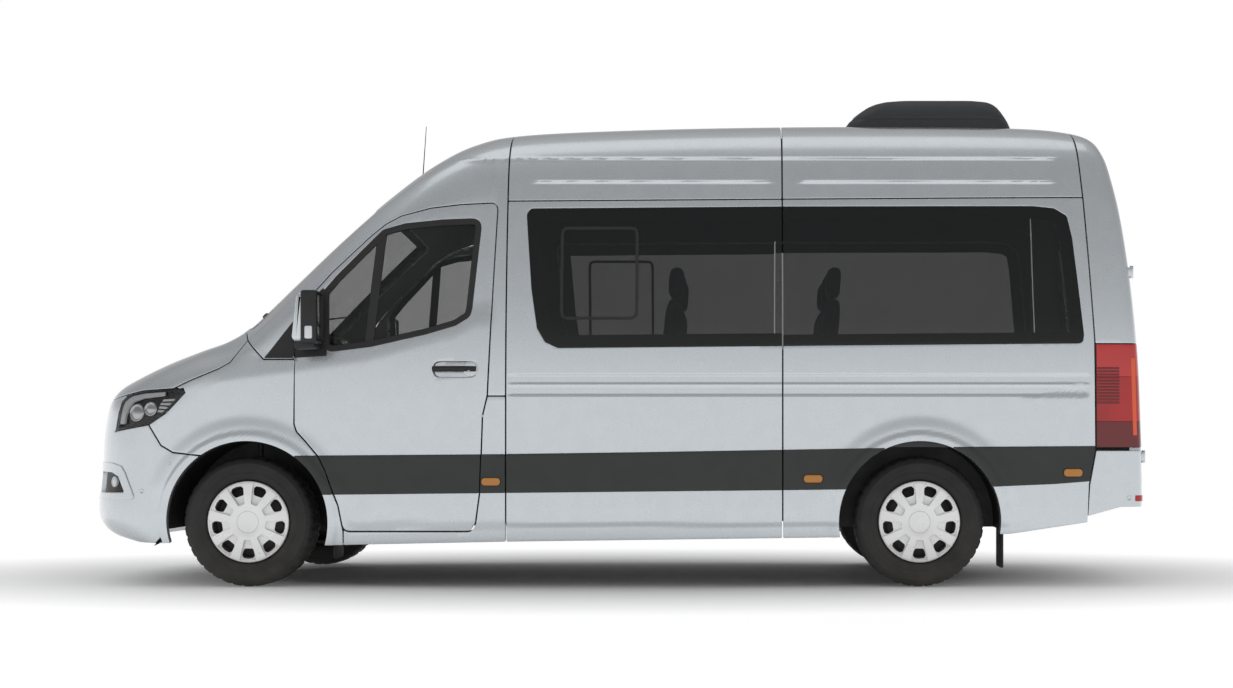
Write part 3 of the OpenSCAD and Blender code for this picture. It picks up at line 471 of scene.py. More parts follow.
# %% Outlines
def rounded(points, radius, steps=7):
    """An outline with its corners made round."""
    out = []
    count = len(points)
    for k in range(count):
        before, here, after = (Vector(points[(k + d) % count]) for d in (-1, 0, 1))
        a, b = (before - here), (after - here)
        turn = a.angle(b)
        reach = min(radius / math.tan(turn / 2), a.length * 0.48, b.length * 0.48)
        if math.pi - turn < math.radians(4) or reach < 1:
            out.append(tuple(here))
            continue
        start, end = here + a.normalized() * reach, here + b.normalized() * reach
        for t in spread(0, 1, steps):
            out.append(tuple(start.lerp(here, t).lerp(here.lerp(end, t), t)))
    return out


def grown(points, by):
    """An outline moved outwards by a distance, or inwards by a negative one."""
    pts = [Vector(p) for p in points]
    count = len(pts)
    area = sum(pts[k].x * pts[(k + 1) % count].y - pts[(k + 1) % count].x * pts[k].y for k in range(count))
    sign = 1 if area > 0 else -1
    out = []
    for k in range(count):
        a = (pts[k] - pts[k - 1]).normalized()
        b = (pts[(k + 1) % count] - pts[k]).normalized()
        na, nb = Vector((a.y, -a.x)) * sign, Vector((b.y, -b.x)) * sign
        mean = na + nb
        out.append(tuple(pts[k] + mean * (by / max(0.35, 1 + na.dot(nb)))))
    return out


FAR = 4000
CUTTERS = []


def prism(points, low=-FAR, high=FAR, along="Y"):
    """An outline in (x, z), or (y, z) when it runs along X, pushed through from low to high."""
    bm = bmesh.new()
    place = (lambda a, b: (a, low, b)) if along == "Y" else (lambda a, b: (low, a, b))
    verts = [bm.verts.new(Vector(place(*p)) * MM) for p in points]
    bottom = bm.faces.new(verts)
    bottom.material_index = 3
    new = bmesh.ops.extrude_face_region(bm, geom=[bottom])
    shift = Vector((0, high - low, 0)) if along == "Y" else Vector((high - low, 0, 0))
    bmesh.ops.translate(bm, verts=[v for v in new["geom"] if isinstance(v, bmesh.types.BMVert)], vec=shift * MM)
    bmesh.ops.recalc_face_normals(bm, faces=bm.faces)
    for face in bm.faces:
        face.material_index = 3
    mesh = bpy.data.meshes.new("cutter")
    bm.to_mesh(mesh)
    bm.free()
    for k in range(4):
        mesh.materials.append(None)
    obj = bpy.data.objects.new("cutter", mesh)
    scene.collection.objects.link(obj)
    CUTTERS.append(obj)
    return obj


def disc(x, radius, low=-FAR, high=FAR):
    """A round cutter across the body, for a wheel arch."""
    return prism([(x + radius * math.cos(a),
                   TYRE_R + radius * math.sin(a)) for a in spread(0, math.tau, 96)[:-1]],
                 low, high)


def cut(source, keep, remove=()):
    """The outer faces of a skin inside all of keep and outside all of remove, as an open bmesh."""
    work = source.copy()
    work.data = source.data.copy()
    scene.collection.objects.link(work)
    for operation, cutters in (("INTERSECT", keep), ("DIFFERENCE", remove)):
        for cutter in cutters:
            boolean = work.modifiers.new("cut", "BOOLEAN")
            boolean.solver = "MANIFOLD"
            boolean.operation = operation
            boolean.object = cutter
    apply_modifiers(work)
    bm = bmesh.new()
    bm.from_mesh(work.data)
    bpy.data.objects.remove(work)
    bmesh.ops.delete(bm, geom=[f for f in bm.faces if f.material_index != 0], context="FACES")
    bmesh.ops.remove_doubles(bm, verts=bm.verts, dist=0.7 * MM)
    bmesh.ops.dissolve_degenerate(bm, edges=bm.edges, dist=0.3 * MM)
    for island in islands(bm):
        if sum(f.calc_area() for f in island) < 4e-4:
            bmesh.ops.delete(bm, geom=island, context="FACES")
    bm.normal_update()
    return bm


def islands(bm):
    """The connected groups of faces in a bmesh."""
    left = set(bm.faces)
    out = []
    while left:
        todo = [left.pop()]
        found = []
        while todo:
            face = todo.pop()
            found.append(face)
            for edge in face.edges:
                for near in edge.link_faces:
                    if near in left:
                        left.remove(near)
                        todo.append(near)
        out.append(found)
    return out


# %% Rolling the edge and closing the back
ROLL = ((0.9, 0.15), (1.7, 0.65), (2.25, 1.5), (2.5, 3.0))


def thicken(bm, depth, lift=0.0, roll=ROLL, hem=None, step_in=0.0):
    """Gives an open patch a rolled edge, side walls and a back. hem is the depth where the edge steps in."""
    for v in bm.verts:
        v.co += v.normal * lift * MM
    base = {v: (v.co.copy(), v.normal.copy()) for v in bm.verts}
    front = list(bm.faces)
    rim = [e for e in bm.edges if e.is_boundary]
    away = {}
    for edge in rim:
        face = edge.link_faces[0]
        direction = (edge.verts[1].co - edge.verts[0].co).cross(face.normal)
        if direction.dot(face.calc_center_median() - edge.verts[0].co) > 0:
            direction.negate()
        for v in edge.verts:
            away.setdefault(v, Vector())
            away[v] += direction.normalized() * max(edge.calc_length(), 1e-5)
    for v in away:
        flat = away[v] - base[v][1] * away[v].dot(base[v][1])
        away[v] = flat.normalized() if flat.length > 1e-9 else Vector()
    back = bmesh.ops.duplicate(bm, geom=front + list(bm.verts) + list(bm.edges))
    twin = back["vert_map"]
    for v, (co, normal) in base.items():
        twin[v].co = co - normal * depth * MM + (away[v] * -step_in * MM if v in away else Vector())
    back_faces = [g for g in back["geom"] if isinstance(g, bmesh.types.BMFace)]
    for face in back_faces:
        face.material_index = 1
    bmesh.ops.reverse_faces(bm, faces=back_faces)
    steps = list(roll)
    reach = steps[-1][0]
    if hem:
        steps += [(reach, hem), (-step_in, hem)]
    steps += [(-step_in if hem else reach, depth), (-step_in, depth)]
    ring, ring_base = rim, {v: v for v in away}
    for out, down in steps:
        new = bmesh.ops.extrude_edge_only(bm, edges=ring)["geom"]
        new_verts = [g for g in new if isinstance(g, bmesh.types.BMVert)]
        fresh = {}
        for v in new_verts:
            old = next(e.other_vert(v) for e in v.link_edges if e.other_vert(v) in ring_base)
            origin = ring_base[old]
            co, normal = base[origin]
            v.co = co + away[origin] * out * MM - normal * down * MM
            fresh[v] = origin
        known = set(new_verts)
        ring = [g for g in new if isinstance(g, bmesh.types.BMEdge) and all(v in known for v in g.verts)]
        ring_base = fresh
    bmesh.ops.remove_doubles(bm, verts=bm.verts, dist=0.02 * MM)
    bmesh.ops.recalc_face_normals(bm, faces=bm.faces)


def piece(name, bm, body, materials, slot, sharp=38, replaces=()):
    """A finished object from a bmesh, which rides on a CAD body."""
    mesh = bpy.data.meshes.new(name)
    for face in bm.faces:
        face.smooth = True
    bm.to_mesh(mesh)
    bm.free()
    for mat in materials:
        mesh.materials.append(mat)
    mesh.set_sharp_from_angle(angle=math.radians(sharp))
    obj = bpy.data.objects.new(name, mesh)
    scene.collection.objects.link(obj)
    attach(obj, body)
    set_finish(obj, slot)
    for node in replaces:
        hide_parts(node)
    print(name, len(mesh.polygons), "faces")
    return obj


# %% [markdown]
# ## Panel outlines
# The outlines are the CAD model's own, in millimetres, with their corners made round. The gap between two panels
# is 7 mm, so each outline is drawn in by half the gap and by the reach of the rolled edge.

# %% Outline values
GAP = 7.0
EDGE = -(GAP / 2 + ROLL[-1][0])
JOINT_B = -552
JOINT_C = 956
WALL = 60
DOOR = 66
SKIN = 34
DOOR_HEM = 13
DOOR_STEP = 10
DOOR_FRONT = [(-1438, 304), (-1465, 446), (-1492, 517), (-1536, 640), (-1574, 716), (-1645, 800), (-1690, 848),
              (-1704, 890), (-1704, 1400)]
CAB_DOOR = DOOR_FRONT + [(-1692, 1467), (-1659, 1532), (-1611, 1604), (-1515, 1716), (-1303, 1924),
                         (-1222, 1992),
                         (-1141, 2035), (-978, 2079), (-814, 2099), (-605, 2110), (-652, 1046), (-678, 936),
                         (-692, 528), (-716, 350), (-740, 304)]
CAB_WINDOW = [(-1551, 1279), (-1290, 1311), (-990, 1379), (-828, 1427), (-750, 1476), (-739, 1522),
              (-691, 2024),
              (-911, 2015), (-1113, 1994), (-1237, 1959), (-1487, 1698), (-1557, 1613)]
BONNET_SEAM = [(-3200, 1004), (-2850, 1012), (-2700, 1045), (-2551, 1074), (-2368, 1083), (-2280, 1125),
               (-2120, 1192), (-2060, 1227), (-2006, 1303), (-1975, 1350)]
BONNET = BONNET_SEAM + [(-2060, 1465), (-2300, 1800), (-3200, 1800)]
HEADLAMP = [(-3200, 842), (-2734, 850), (-2504, 887), (-2406, 952), (-2303, 1061), (-2312, 1081), (-2368, 1083),
            (-2551, 1074), (-2700, 1045), (-2850, 1012), (-3200, 1004)]
LAMP = [(-2716, 852), *HEADLAMP[2:8], (-2640, 1057), (-2682, 1020), (-2698, 960)]
BUMPER_LINE = [(-2000, 714), (-2216, 718), (-2368, 735), (-2434, 773), (-2504, 887)]
FRONT_BUMPER = [(-3200, 236), (-2000, 236)] + BUMPER_LINE + HEADLAMP[3:]
WING_TOP = [(-1704, 1243), (-1875, 1243), (-1975, 1350)]
WING = [(-1438, 100)] + DOOR_FRONT + WING_TOP + [(-2800, 1350), (-2800, 400), (-1962, 400), (-1962, 100)]
CAB = [(-1438, 100)] + DOOR_FRONT[:-1] + WING_TOP + [(-2060, 1465), (-2300, 3400), (JOINT_B, 3400),
                                                     (JOINT_B, 100)]
ROOF_F = 2117
ROOF_R = 2139
ROOF_C = (ROOF_F + ROOF_R) / 2
TAIL_LINE = [(2553, 2900), (2612, ROOF_R), (2659, 1344), (2663, 754), (2628, 560), (2612, 100)]
SIDE_WINDOW = [(-447, 2045), (-425, 2076), (954, 2087), (2335, 2090), (2450, 2078), (2520, 2035), (2545, 1915),
               (2600, 1380), (2592, 1330), (-268, 1304), (-339, 1336), (-383, 1413), (-415, 1627)]
FRONT_BAY = [(JOINT_B, 100), (JOINT_B, ROOF_F), (JOINT_C, ROOF_C), (JOINT_C, 100)]
REAR_BAY = [(JOINT_C, 100), (JOINT_C, ROOF_C)] + TAIL_LINE[1:]
SLIDE_SILL = 330
LAMP_BOTTOM = 762
LAMP_TOP = 1328
HEAD_INNER = 520
GRILLE = [(470, 1040), (474, 930), (430, 760), (350, 640)]
REAR_DOORS = [(878, 566), (878, 1400), (858, 1800), (800, 2300), (740, 2440)]
REAR_STILE = 60
DOOR_SHAPE = rounded(CAB_DOOR, 45, 5)
FOG_OUT = rounded([(-2960, 683), (-2735, 676), (-2669, 660), (-2643, 625), (-2603, 534), (-2583, 483),
                   (-2641, 477),
                   (-2960, 472)], 14)
FOG_IN = rounded([(-2960, 634), (-2735, 628), (-2684, 604), (-2662, 560), (-2640, 514), (-2960, 506)], 12)
HANDLE = (-829, 1188)


def mirrored(points):
    """A half outline in (y, z) joined to its mirror image."""
    return list(points) + [(-y, z) for y, z in reversed(points)]


# The screen's bay, an outline in the slope of the screen
SCREEN_LOW = Vector((-2030, 1464))
SCREEN_HIGH = Vector((-1330, 2142))
SCREEN_SLOPE = math.atan2(*(SCREEN_HIGH - SCREEN_LOW).yx)
SCREEN_LENGTH = (SCREEN_HIGH - SCREEN_LOW).length


def outside(y):
    """Everything further left than y, to limit a cut."""
    return prism([(-FAR, -FAR), (FAR, -FAR), (FAR, FAR), (-FAR, FAR)], -FAR, y)


def screen_prism(by=0.0):
    """The screen's outline pushed through the body square to the screen."""
    outline = [(-14, -HALF_WIDTH + 150), (-24, 0), (-14, HALF_WIDTH - 150),
               (SCREEN_LENGTH - 30, HALF_WIDTH - 222),
               (SCREEN_LENGTH, 0), (SCREEN_LENGTH - 30, -HALF_WIDTH + 222)]
    bm = bmesh.new()
    verts = [bm.verts.new(Vector((a, b, -300)) * MM) for a, b in grown(rounded(outline, 60), by)]
    new = bmesh.ops.extrude_face_region(bm, geom=[bm.faces.new(verts)])
    bmesh.ops.translate(bm, verts=[v for v in new["geom"] if isinstance(v, bmesh.types.BMVert)],
                        vec=(0, 0, 700 * MM))
    turn = Matrix.Translation(Vector((SCREEN_LOW.x, 0,
                                      SCREEN_LOW.y)) * MM) @ Matrix.Rotation(-SCREEN_SLOPE, 4, "Y")
    bmesh.ops.transform(bm, matrix=turn, verts=bm.verts)
    bmesh.ops.recalc_face_normals(bm, faces=bm.faces)
    mesh = bpy.data.meshes.new("cutter")
    for face in bm.faces:
        face.material_index = 3
    bm.to_mesh(mesh)
    bm.free()
    for k in range(4):
        mesh.materials.append(None)
    obj = bpy.data.objects.new("cutter", mesh)
    scene.collection.objects.link(obj)
    CUTTERS.append(obj)
    return obj


LEFT = (-FAR, -1)
arch_cuts = [disc(AXLE_F, ARCH_R - EDGE - GAP / 2), disc(AXLE_R, ARCH_R - EDGE - GAP / 2)]
left_half = outside(0)


def flip(obj, name, body, replaces=()):
    """The same piece on the other side of the vehicle."""
    bm = bmesh.new()
    bm.from_mesh(obj.data)
    bmesh.ops.transform(bm, matrix=Matrix.Scale(-1, 4, (0, 1, 0)), verts=bm.verts)
    bmesh.ops.reverse_faces(bm, faces=bm.faces)
    return piece(name, bm, body, list(obj.data.materials), obj["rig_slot"], replaces=replaces)


# %% [markdown]
# ## Body panels
# Each panel is cut from the skin with its own outline, less its neighbours' and the openings in it.

# %% Cab frame, wings, bonnet and front bumper
flap_line = prism([(-760, 1036.5), (-500, 1036.5), (-500, 1047.5), (-760, 1047.5)])
bm = cut(front_skin, [prism(grown(CAB, EDGE))],
         [prism(grown(DOOR_SHAPE, -EDGE)), screen_prism(3), arch_cuts[0], flap_line])
thicken(bm, WALL)
piece("cab_frame_skin", bm, "body", [PAINT, LINING], "body_paint", replaces=["cab_frame"])

bm = cut(front_skin, [prism(grown(WING, EDGE))],
         [prism(grown(BONNET, -EDGE)), prism(grown(FRONT_BUMPER, -EDGE)), prism(grown(LAMP, -EDGE)),
          arch_cuts[0],
          prism([(-420 - 160, -FAR), (420 + 160, -FAR), (420 + 160, FAR), (-420 - 160, FAR)], -FAR, FAR, "X")])
thicken(bm, SKIN)
piece("front_wing_skins", bm, "body", [PAINT, BLACK], "body_paint", replaces=["front_wings"])

bm = cut(front_skin, [prism(grown(BONNET, EDGE))])
thicken(bm, SKIN)
piece("bonnet_skin", bm, "bonnet", [PAINT, BLACK], "body_paint", replaces=["bonnet"])

LAMP_SIDES = [prism(grown(LAMP, -EDGE), -FAR, -HEAD_INNER - EDGE - 2 * GAP),
              prism(grown(LAMP, -EDGE), HEAD_INNER + EDGE + 2 * GAP, FAR)]
grille_hole = prism(grown(rounded(mirrored(GRILLE), 30), -EDGE), -FAR, -1500, "X")
fog_holes = [prism(grown(FOG_IN, -1), -FAR, -660), prism(grown(FOG_IN, -1), 660, FAR)]
intake_hole = prism(rounded(mirrored([(640, 398), (640, 462)]), 16), -FAR, -1500, "X")
bm = cut(front_skin, [prism(grown(FRONT_BUMPER, EDGE))],
         [prism(grown(BONNET, -EDGE)), *LAMP_SIDES, grille_hole, arch_cuts[0], *fog_holes, intake_hole])
thicken(bm, SKIN)
piece("front_bumper_skin", bm, "body", [PAINT, BLACK], "body_paint", replaces=["front_bumper"])

# %% Sides, sliding door, roof and tail
window_hole = prism(grown(rounded(SIDE_WINDOW, 30), -EDGE - GAP / 2))
bm = cut(side_skin, [prism(grown(FRONT_BAY, EDGE)), left_half], [window_hole])
thicken(bm, WALL)
piece("side_wall_left_front", bm, "body", [PAINT, LINING], "body_paint", replaces=["side_wall_left"])
bm = cut(side_skin, [prism(grown(REAR_BAY, EDGE)), left_half], [window_hole, arch_cuts[1]])
thicken(bm, WALL)
side_rear = piece("side_wall_left_rear", bm, "body", [PAINT, LINING], "body_paint", replaces=["side_wall_left"])
flip(side_rear, "side_wall_right_rear", "body", ["side_wall_right"])
sill_cut = prism([(-FAR, -FAR), (FAR, -FAR), (FAR, SLIDE_SILL + EDGE), (-FAR, SLIDE_SILL + EDGE)])
above_sill = prism([(-FAR, SLIDE_SILL - EDGE - GAP), (FAR, SLIDE_SILL - EDGE - GAP), (FAR, FAR), (-FAR, FAR)])
bm = cut(side_skin, [prism(grown(FRONT_BAY, EDGE)), left_half, above_sill], [window_hole])
thicken(bm, DOOR)
door = piece("sliding_door_left", bm, "body", [PAINT, LINING], "body_paint")
flip(door, "sliding_door_skin", "body", ["sliding_door"])
bpy.data.objects.remove(door)
bm = cut(side_skin, [prism(grown(FRONT_BAY, EDGE)), left_half, sill_cut])
thicken(bm, WALL)
sill = piece("sill_left", bm, "body", [PAINT, LINING], "body_paint")
flip(sill, "side_wall_right_sill", "body", ["side_wall_right"])
bpy.data.objects.remove(sill)

roof_front = [(JOINT_B, ROOF_F), (JOINT_B, 3400), (JOINT_C, 3400), (JOINT_C, ROOF_C)]
roof_rear = [(JOINT_C, ROOF_C), (JOINT_C, 3400), (TAIL_LINE[0][0], 3400), *TAIL_LINE[:2]]
for name, outline in (("roof_front", roof_front), ("roof_rear", roof_rear)):
    bm = cut(roof_skin, [prism(grown(outline, EDGE))])
    thicken(bm, WALL)
    piece(name, bm, "body", [PAINT, LINING], "body_paint", replaces=["roof_panel"])

lamp_zone = [(2666.5, LAMP_BOTTOM), (2662.5, LAMP_TOP), (3400, LAMP_TOP), (3400, LAMP_BOTTOM)]
tail_block = TAIL_LINE + [(3400, 100), (3400, 2900)]
doors_hole = prism(grown(rounded(mirrored(REAR_DOORS), 110), -EDGE), 1500, FAR, "X")
lamp_y = REAR_DOORS[0][0] + GAP
lamp_holes = [prism(grown(lamp_zone, -EDGE), -FAR, -lamp_y - EDGE - GAP),
              prism(grown(lamp_zone, -EDGE), lamp_y + EDGE + GAP, FAR)]
low_cut = prism([(2000, -FAR), (2000, LAMP_BOTTOM - EDGE), (3400, LAMP_BOTTOM - EDGE), (3400, -FAR)])
bm = cut(tail_skin, [prism(grown(tail_block, EDGE))], [doors_hole, *lamp_holes, low_cut])
thicken(bm, WALL)
piece("rear_frame_skin", bm, "body", [PAINT, LINING], "body_paint", replaces=["rear_frame"])
rear_low = [(2663, 748), (2628, 560), (2617, 384), (2800, 434), (3400, 444), (3400, 748)]
bumper_hole = prism(grown(mirrored([(REAR_DOORS[0][0], 566), (REAR_DOORS[0][0], 900)]), -EDGE), 1500, FAR, "X")
bm = cut(tail_skin, [prism(grown(rear_low, EDGE))], [bumper_hole])
thicken(bm, WALL)
CORNER_HALF, CORNER_BACK = 992, 930
for v in bm.verts:  # the surface folds at the foot of each corner, which turns a few back points outward
    if abs(v.co.y) > CORNER_HALF * MM:
        v.co.y = math.copysign(CORNER_BACK * MM, v.co.y)
piece("rear_bumper_skin", bm, "body", [PAINT, BLACK], "body_paint", replaces=["rear_bumper"])

# %% Cab doors and rear doors
handle_hole = prism(rounded([(HANDLE[0] - 122, HANDLE[1] - 46), (HANDLE[0] + 122, HANDLE[1] - 46),
                             (HANDLE[0] + 122, HANDLE[1] + 46), (HANDLE[0] - 122, HANDLE[1] + 46)], 45, 8))
bm = cut(front_skin, [prism(grown(DOOR_SHAPE, EDGE), *LEFT)],
         [prism(grown(rounded(CAB_WINDOW, 60), -EDGE - GAP / 2)), handle_hole])
thicken(bm, DOOR, hem=DOOR_HEM, step_in=DOOR_STEP)
cab_door = piece("cab_door_left_skin", bm, "cab_door_left", [PAINT, LINING], "body_paint",
                 replaces=["cab_door_left"])
flip(cab_door, "cab_door_right_skin", "cab_door_right", ["cab_door_right"])

inside_left = prism([(-FAR, -FAR), (EDGE, -FAR), (EDGE, FAR), (-FAR, FAR)], 1500, FAR, "X")
window_left = [(-REAR_STILE, 1330), (-800, 1330), (-796, 1700), (-770, 2060), (-REAR_STILE, 2060)]
bm = cut(tail_skin, [prism(grown(rounded(mirrored(REAR_DOORS), 110), EDGE), 1500, FAR, "X"), inside_left],
         [prism(grown(rounded(window_left, 60), -EDGE - GAP / 2), 1500, FAR, "X")])
thicken(bm, WALL, hem=DOOR_HEM, step_in=DOOR_STEP)
rear_door = piece("rear_door_left_skin", bm, "rear_door_left", [PAINT, LINING], "body_paint",
                  replaces=["rear_door_left"])
flip(rear_door, "rear_door_right_skin", "rear_door_right", ["rear_door_right"])

# %% [markdown]
# ## Glass, seals and the side band
# Glass follows the body too. Each pane is cut from the same skin, set a few millimetres below the steel, and held
# by a rubber that laps its edge. The charcoal band is a moulding clipped on over the steel, cut at each shut line.

# %% Strip helper
def strip(name, source, keep, remove, body, materials, slot, lift, depth, roll=ROLL, replaces=(), right=None):
    """A panel laid on or into the surface on the left side, and its twin on the right where right is given."""
    bm = cut(source, keep, remove)
    thicken(bm, depth, lift, roll)
    obj = piece(name, bm, body, materials, slot, replaces=replaces)
    if right:
        flip(obj, right[0], right[1], right[2:])
    return obj


SMALL_ROLL = ((0.5, 0.1), (0.9, 0.4), (1.2, 0.9), (1.3, 1.6))
SEAL_ROLL = ((1.0, 0.2), (1.9, 0.8), (2.6, 1.9), (2.9, 3.4))
CAB_GLASS = rounded(CAB_WINDOW, 60)
SIDE_GLASS = rounded(SIDE_WINDOW, 30)

# %% [markdown]
# ### Door glass
# The pane slides in a black rubber channel. Each piece is cut from the body surface inside one outline
# and laid a little below the paint, so that glass, rubber and door keep one curve.

# %% Cab door windows
strip("cab_glass_pane_left", front_skin, [prism(grown(CAB_GLASS, -14), *LEFT)], [], "cab_door_left", [GLASS],
      "cab_glass", -9, 4, SMALL_ROLL, ["cab_glass_left"],
      ("cab_glass_pane_right", "cab_door_right", "cab_glass_right"))
strip("cab_glass_seal_left", front_skin, [prism(grown(CAB_GLASS, -1), *LEFT)], [prism(grown(CAB_GLASS, -30))],
      "cab_door_left", [RUBBER], "rubber", 0.5, 16, SEAL_ROLL, (), ("cab_glass_seal_right", "cab_door_right"))
BAR_TOP, BAR_FOOT = (-1237, 1950), (-1308, 1300)
bar = [(BAR_FOOT[0] - 20, BAR_FOOT[1] - 30), (BAR_FOOT[0] + 24, BAR_FOOT[1] - 30),
       (BAR_TOP[0] + 24, BAR_TOP[1] + 40),
       (BAR_TOP[0] - 20, BAR_TOP[1] + 40)]
strip("cab_glass_bar_left", front_skin, [prism(bar, *LEFT), prism(grown(CAB_GLASS, -6))], [], "cab_door_left",
      [RUBBER], "rubber", -2, 12, SEAL_ROLL, (), ("cab_glass_bar_right", "cab_door_right"))
sail_front = [(-1868, 1250), (-1710, 1250), (-1710, 1455)]
strip("mirror_sail_front_left", front_skin, [prism(sail_front, *LEFT)], [], "body", [BLACK], "dark_plastic",
      5, 8,
      SMALL_ROLL, (), ("mirror_sail_front_right", "body"))
sail_door = [(-1700, 1252), (-1700, 1455), (-1672, 1500), (-1600, 1588), (-1556, 1632), (-1530, 1610),
             (-1530, 1262)]
strip("mirror_sail_door_left", front_skin, [prism(sail_door, *LEFT)], [prism(grown(CAB_GLASS, -8))],
      "cab_door_left",
      [BLACK], "dark_plastic", 3, 8, SMALL_ROLL, (), ("mirror_sail_door_right", "cab_door_right"))

# %% Side windows, with their dark printed borders and the vent pane's rubber
side_glass_cut = grown(SIDE_GLASS, -3)
SPLIT = 5
for bay, first, last in (("front", -FAR, JOINT_C - SPLIT), ("rear", JOINT_C + SPLIT, FAR)):
    zone = prism([(first, -FAR), (last, -FAR), (last, FAR), (first, FAR)])
    strip(f"side_glass_{bay}_left", side_skin, [prism(side_glass_cut, *LEFT), zone], [], "body", [PRIVACY],
          "dark_glass", -3, 5, SMALL_ROLL, ["side_windows"],
          (f"side_glass_{bay}_right", "body", "side_windows"))
    border = grown(SIDE_GLASS, -70) if bay == "front" else grown(SIDE_GLASS, -62)
    strip(f"side_glass_border_{bay}_left", side_skin, [prism(grown(SIDE_GLASS, 8), *LEFT), zone],
          [prism(border)],
          "body", [BLACK], "dark_plastic", -10, 22, SMALL_ROLL, (), (f"side_glass_border_{bay}_right", "body"))
VENT = rounded([(-250, 1468), (160, 1468), (160, 1966), (-250, 1966)], 38)
strip("vent_rubber_left", side_skin, [prism(grown(VENT, 7), *LEFT)], [prism(grown(VENT, -7))], "body", [RUBBER],
      "rubber", -2.0, 6, SMALL_ROLL, (), ("vent_rubber_right", "body"))

# %% Windscreen and rear windows
bm = cut(front_skin, [screen_prism(-3)])
thicken(bm, 5, -4, SMALL_ROLL)
piece("windscreen_pane", bm, "body", [GLASS], "cab_glass", replaces=["windscreen"])
bm = cut(front_skin, [screen_prism(4)], [screen_prism(-48)])
thicken(bm, 12, -10, SMALL_ROLL)
piece("windscreen_border", bm, "body", [BLACK], "dark_plastic")
REAR_GLASS = rounded(window_left, 60)
strip("rear_glass_pane_left", tail_skin, [prism(grown(REAR_GLASS, -3), 1500, FAR, "X")], [], "rear_door_left",
      [PRIVACY], "dark_glass", -3, 5, SMALL_ROLL, ["rear_glass_left"],
      ("rear_glass_pane_right", "rear_door_right", "rear_glass_right"))
strip("rear_glass_border_left", tail_skin, [prism(grown(REAR_GLASS, 8), 1500, FAR, "X")],
      [prism(grown(REAR_GLASS, -50), 1500, FAR, "X")], "rear_door_left", [BLACK], "dark_plastic", -10, 20,
      SMALL_ROLL, (), ("rear_glass_border_right", "rear_door_right"))

# %% [markdown]
# ### Rubbing strip
# The band is a separate plastic moulding clipped over the steel. It follows the doors and the arches, so it
# is cut into one strip for each panel, with a rolled edge that catches the light.

# %% The charcoal band along the sides
BAND_TOP = [(2740, 768), (1800, 762), (1130, 750), (200, 734), (-700, 722), (-1800, 714)]
BAND_FOOT = [(-1800, 506), (-1500, 508), (1080, 534), (2000, 548), (2440, 566), (2740, 590)]
band = BAND_FOOT + BAND_TOP
BAND_ROLL = ((1.2, 0.4), (2.2, 1.4), (2.8, 3.0), (3.0, 5.0))
arch_trim = [disc(AXLE_F, ARCH_R + 4), disc(AXLE_R, ARCH_R + 4)]
door_line = prism(grown(DOOR_SHAPE, EDGE - 1))
strip("band_wing_left", front_skin,
      [prism(band, *LEFT), prism([(-1900, 100), (-1430, 100), (-1430, 900), (-1900, 900)])],
      [prism(grown(DOOR_SHAPE, 4)), arch_trim[0]], "body", [BAND], "dark_plastic", 8, 12, BAND_ROLL, (),
      ("band_wing_right", "body"))
strip("band_door_left", front_skin, [prism(band, *LEFT), door_line], [arch_trim[0]], "cab_door_left", [BAND],
      "dark_plastic", 8, 12, BAND_ROLL, (), ("band_door_right", "cab_door_right"))
strip("band_pillar_left", front_skin, [prism(band, *LEFT), prism([(-760, 100), (JOINT_B - 6, 100),
                                                                 (JOINT_B - 6, 900), (-760, 900)])],
      [prism(grown(DOOR_SHAPE, 4))], "body", [BAND], "dark_plastic", 8, 12, BAND_ROLL, (),
      ("band_pillar_right", "body"))
strip("band_front_left", side_skin, [prism(band, *LEFT), prism([(JOINT_B + 6, 100), (JOINT_C - 6, 100),
                                                               (JOINT_C - 6, 900), (JOINT_B + 6, 900)])],
      [], "body", [BAND], "dark_plastic", 8, 12, BAND_ROLL, (), ("band_front_right", "body"))
strip("band_rear_left", side_skin,
      [prism(band, *LEFT), prism([(JOINT_C + 6, 100), (JOINT_C + 6, 900), (2650, 900),
                                                              (2655, 754), (2620, 560)])],
      [arch_trim[1]], "body", [BAND], "dark_plastic", 8, 12, BAND_ROLL, (), ("band_rear_right", "body"))

# %% [markdown]
# ## Small solids
# Most fittings are a few basic solids: blocks with rounded edges, shapes turned on a lathe, outlines pushed to a
# depth, and bars bent along a path. Each helper below makes one of those with the modelling tools.

# %% Helpers for fittings
def block(bm, low, high, radius=0.0, segments=3, slot_index=0):
    """A box between two corners in millimetres, with rounded edges."""
    made = bmesh.ops.create_cube(bm, size=1)["verts"]
    low, high = Vector(low), Vector(high)
    for v in made:
        v.co = Vector([(a + b) / 2 + c * (b - a) for a, b, c in zip(low, high, v.co)]) * MM
    faces = {f for v in made for f in v.link_faces}
    for face in faces:
        face.material_index = slot_index
    if radius:
        edges = list({e for f in faces for e in f.edges})
        out = bmesh.ops.bevel(bm, geom=edges, offset=radius * MM, segments=segments, profile=0.5,
                              affect="EDGES",
                              material=-1)
        return list({v for f in out["faces"] for v in f.verts} | {v for v in made if v.is_valid})
    return made


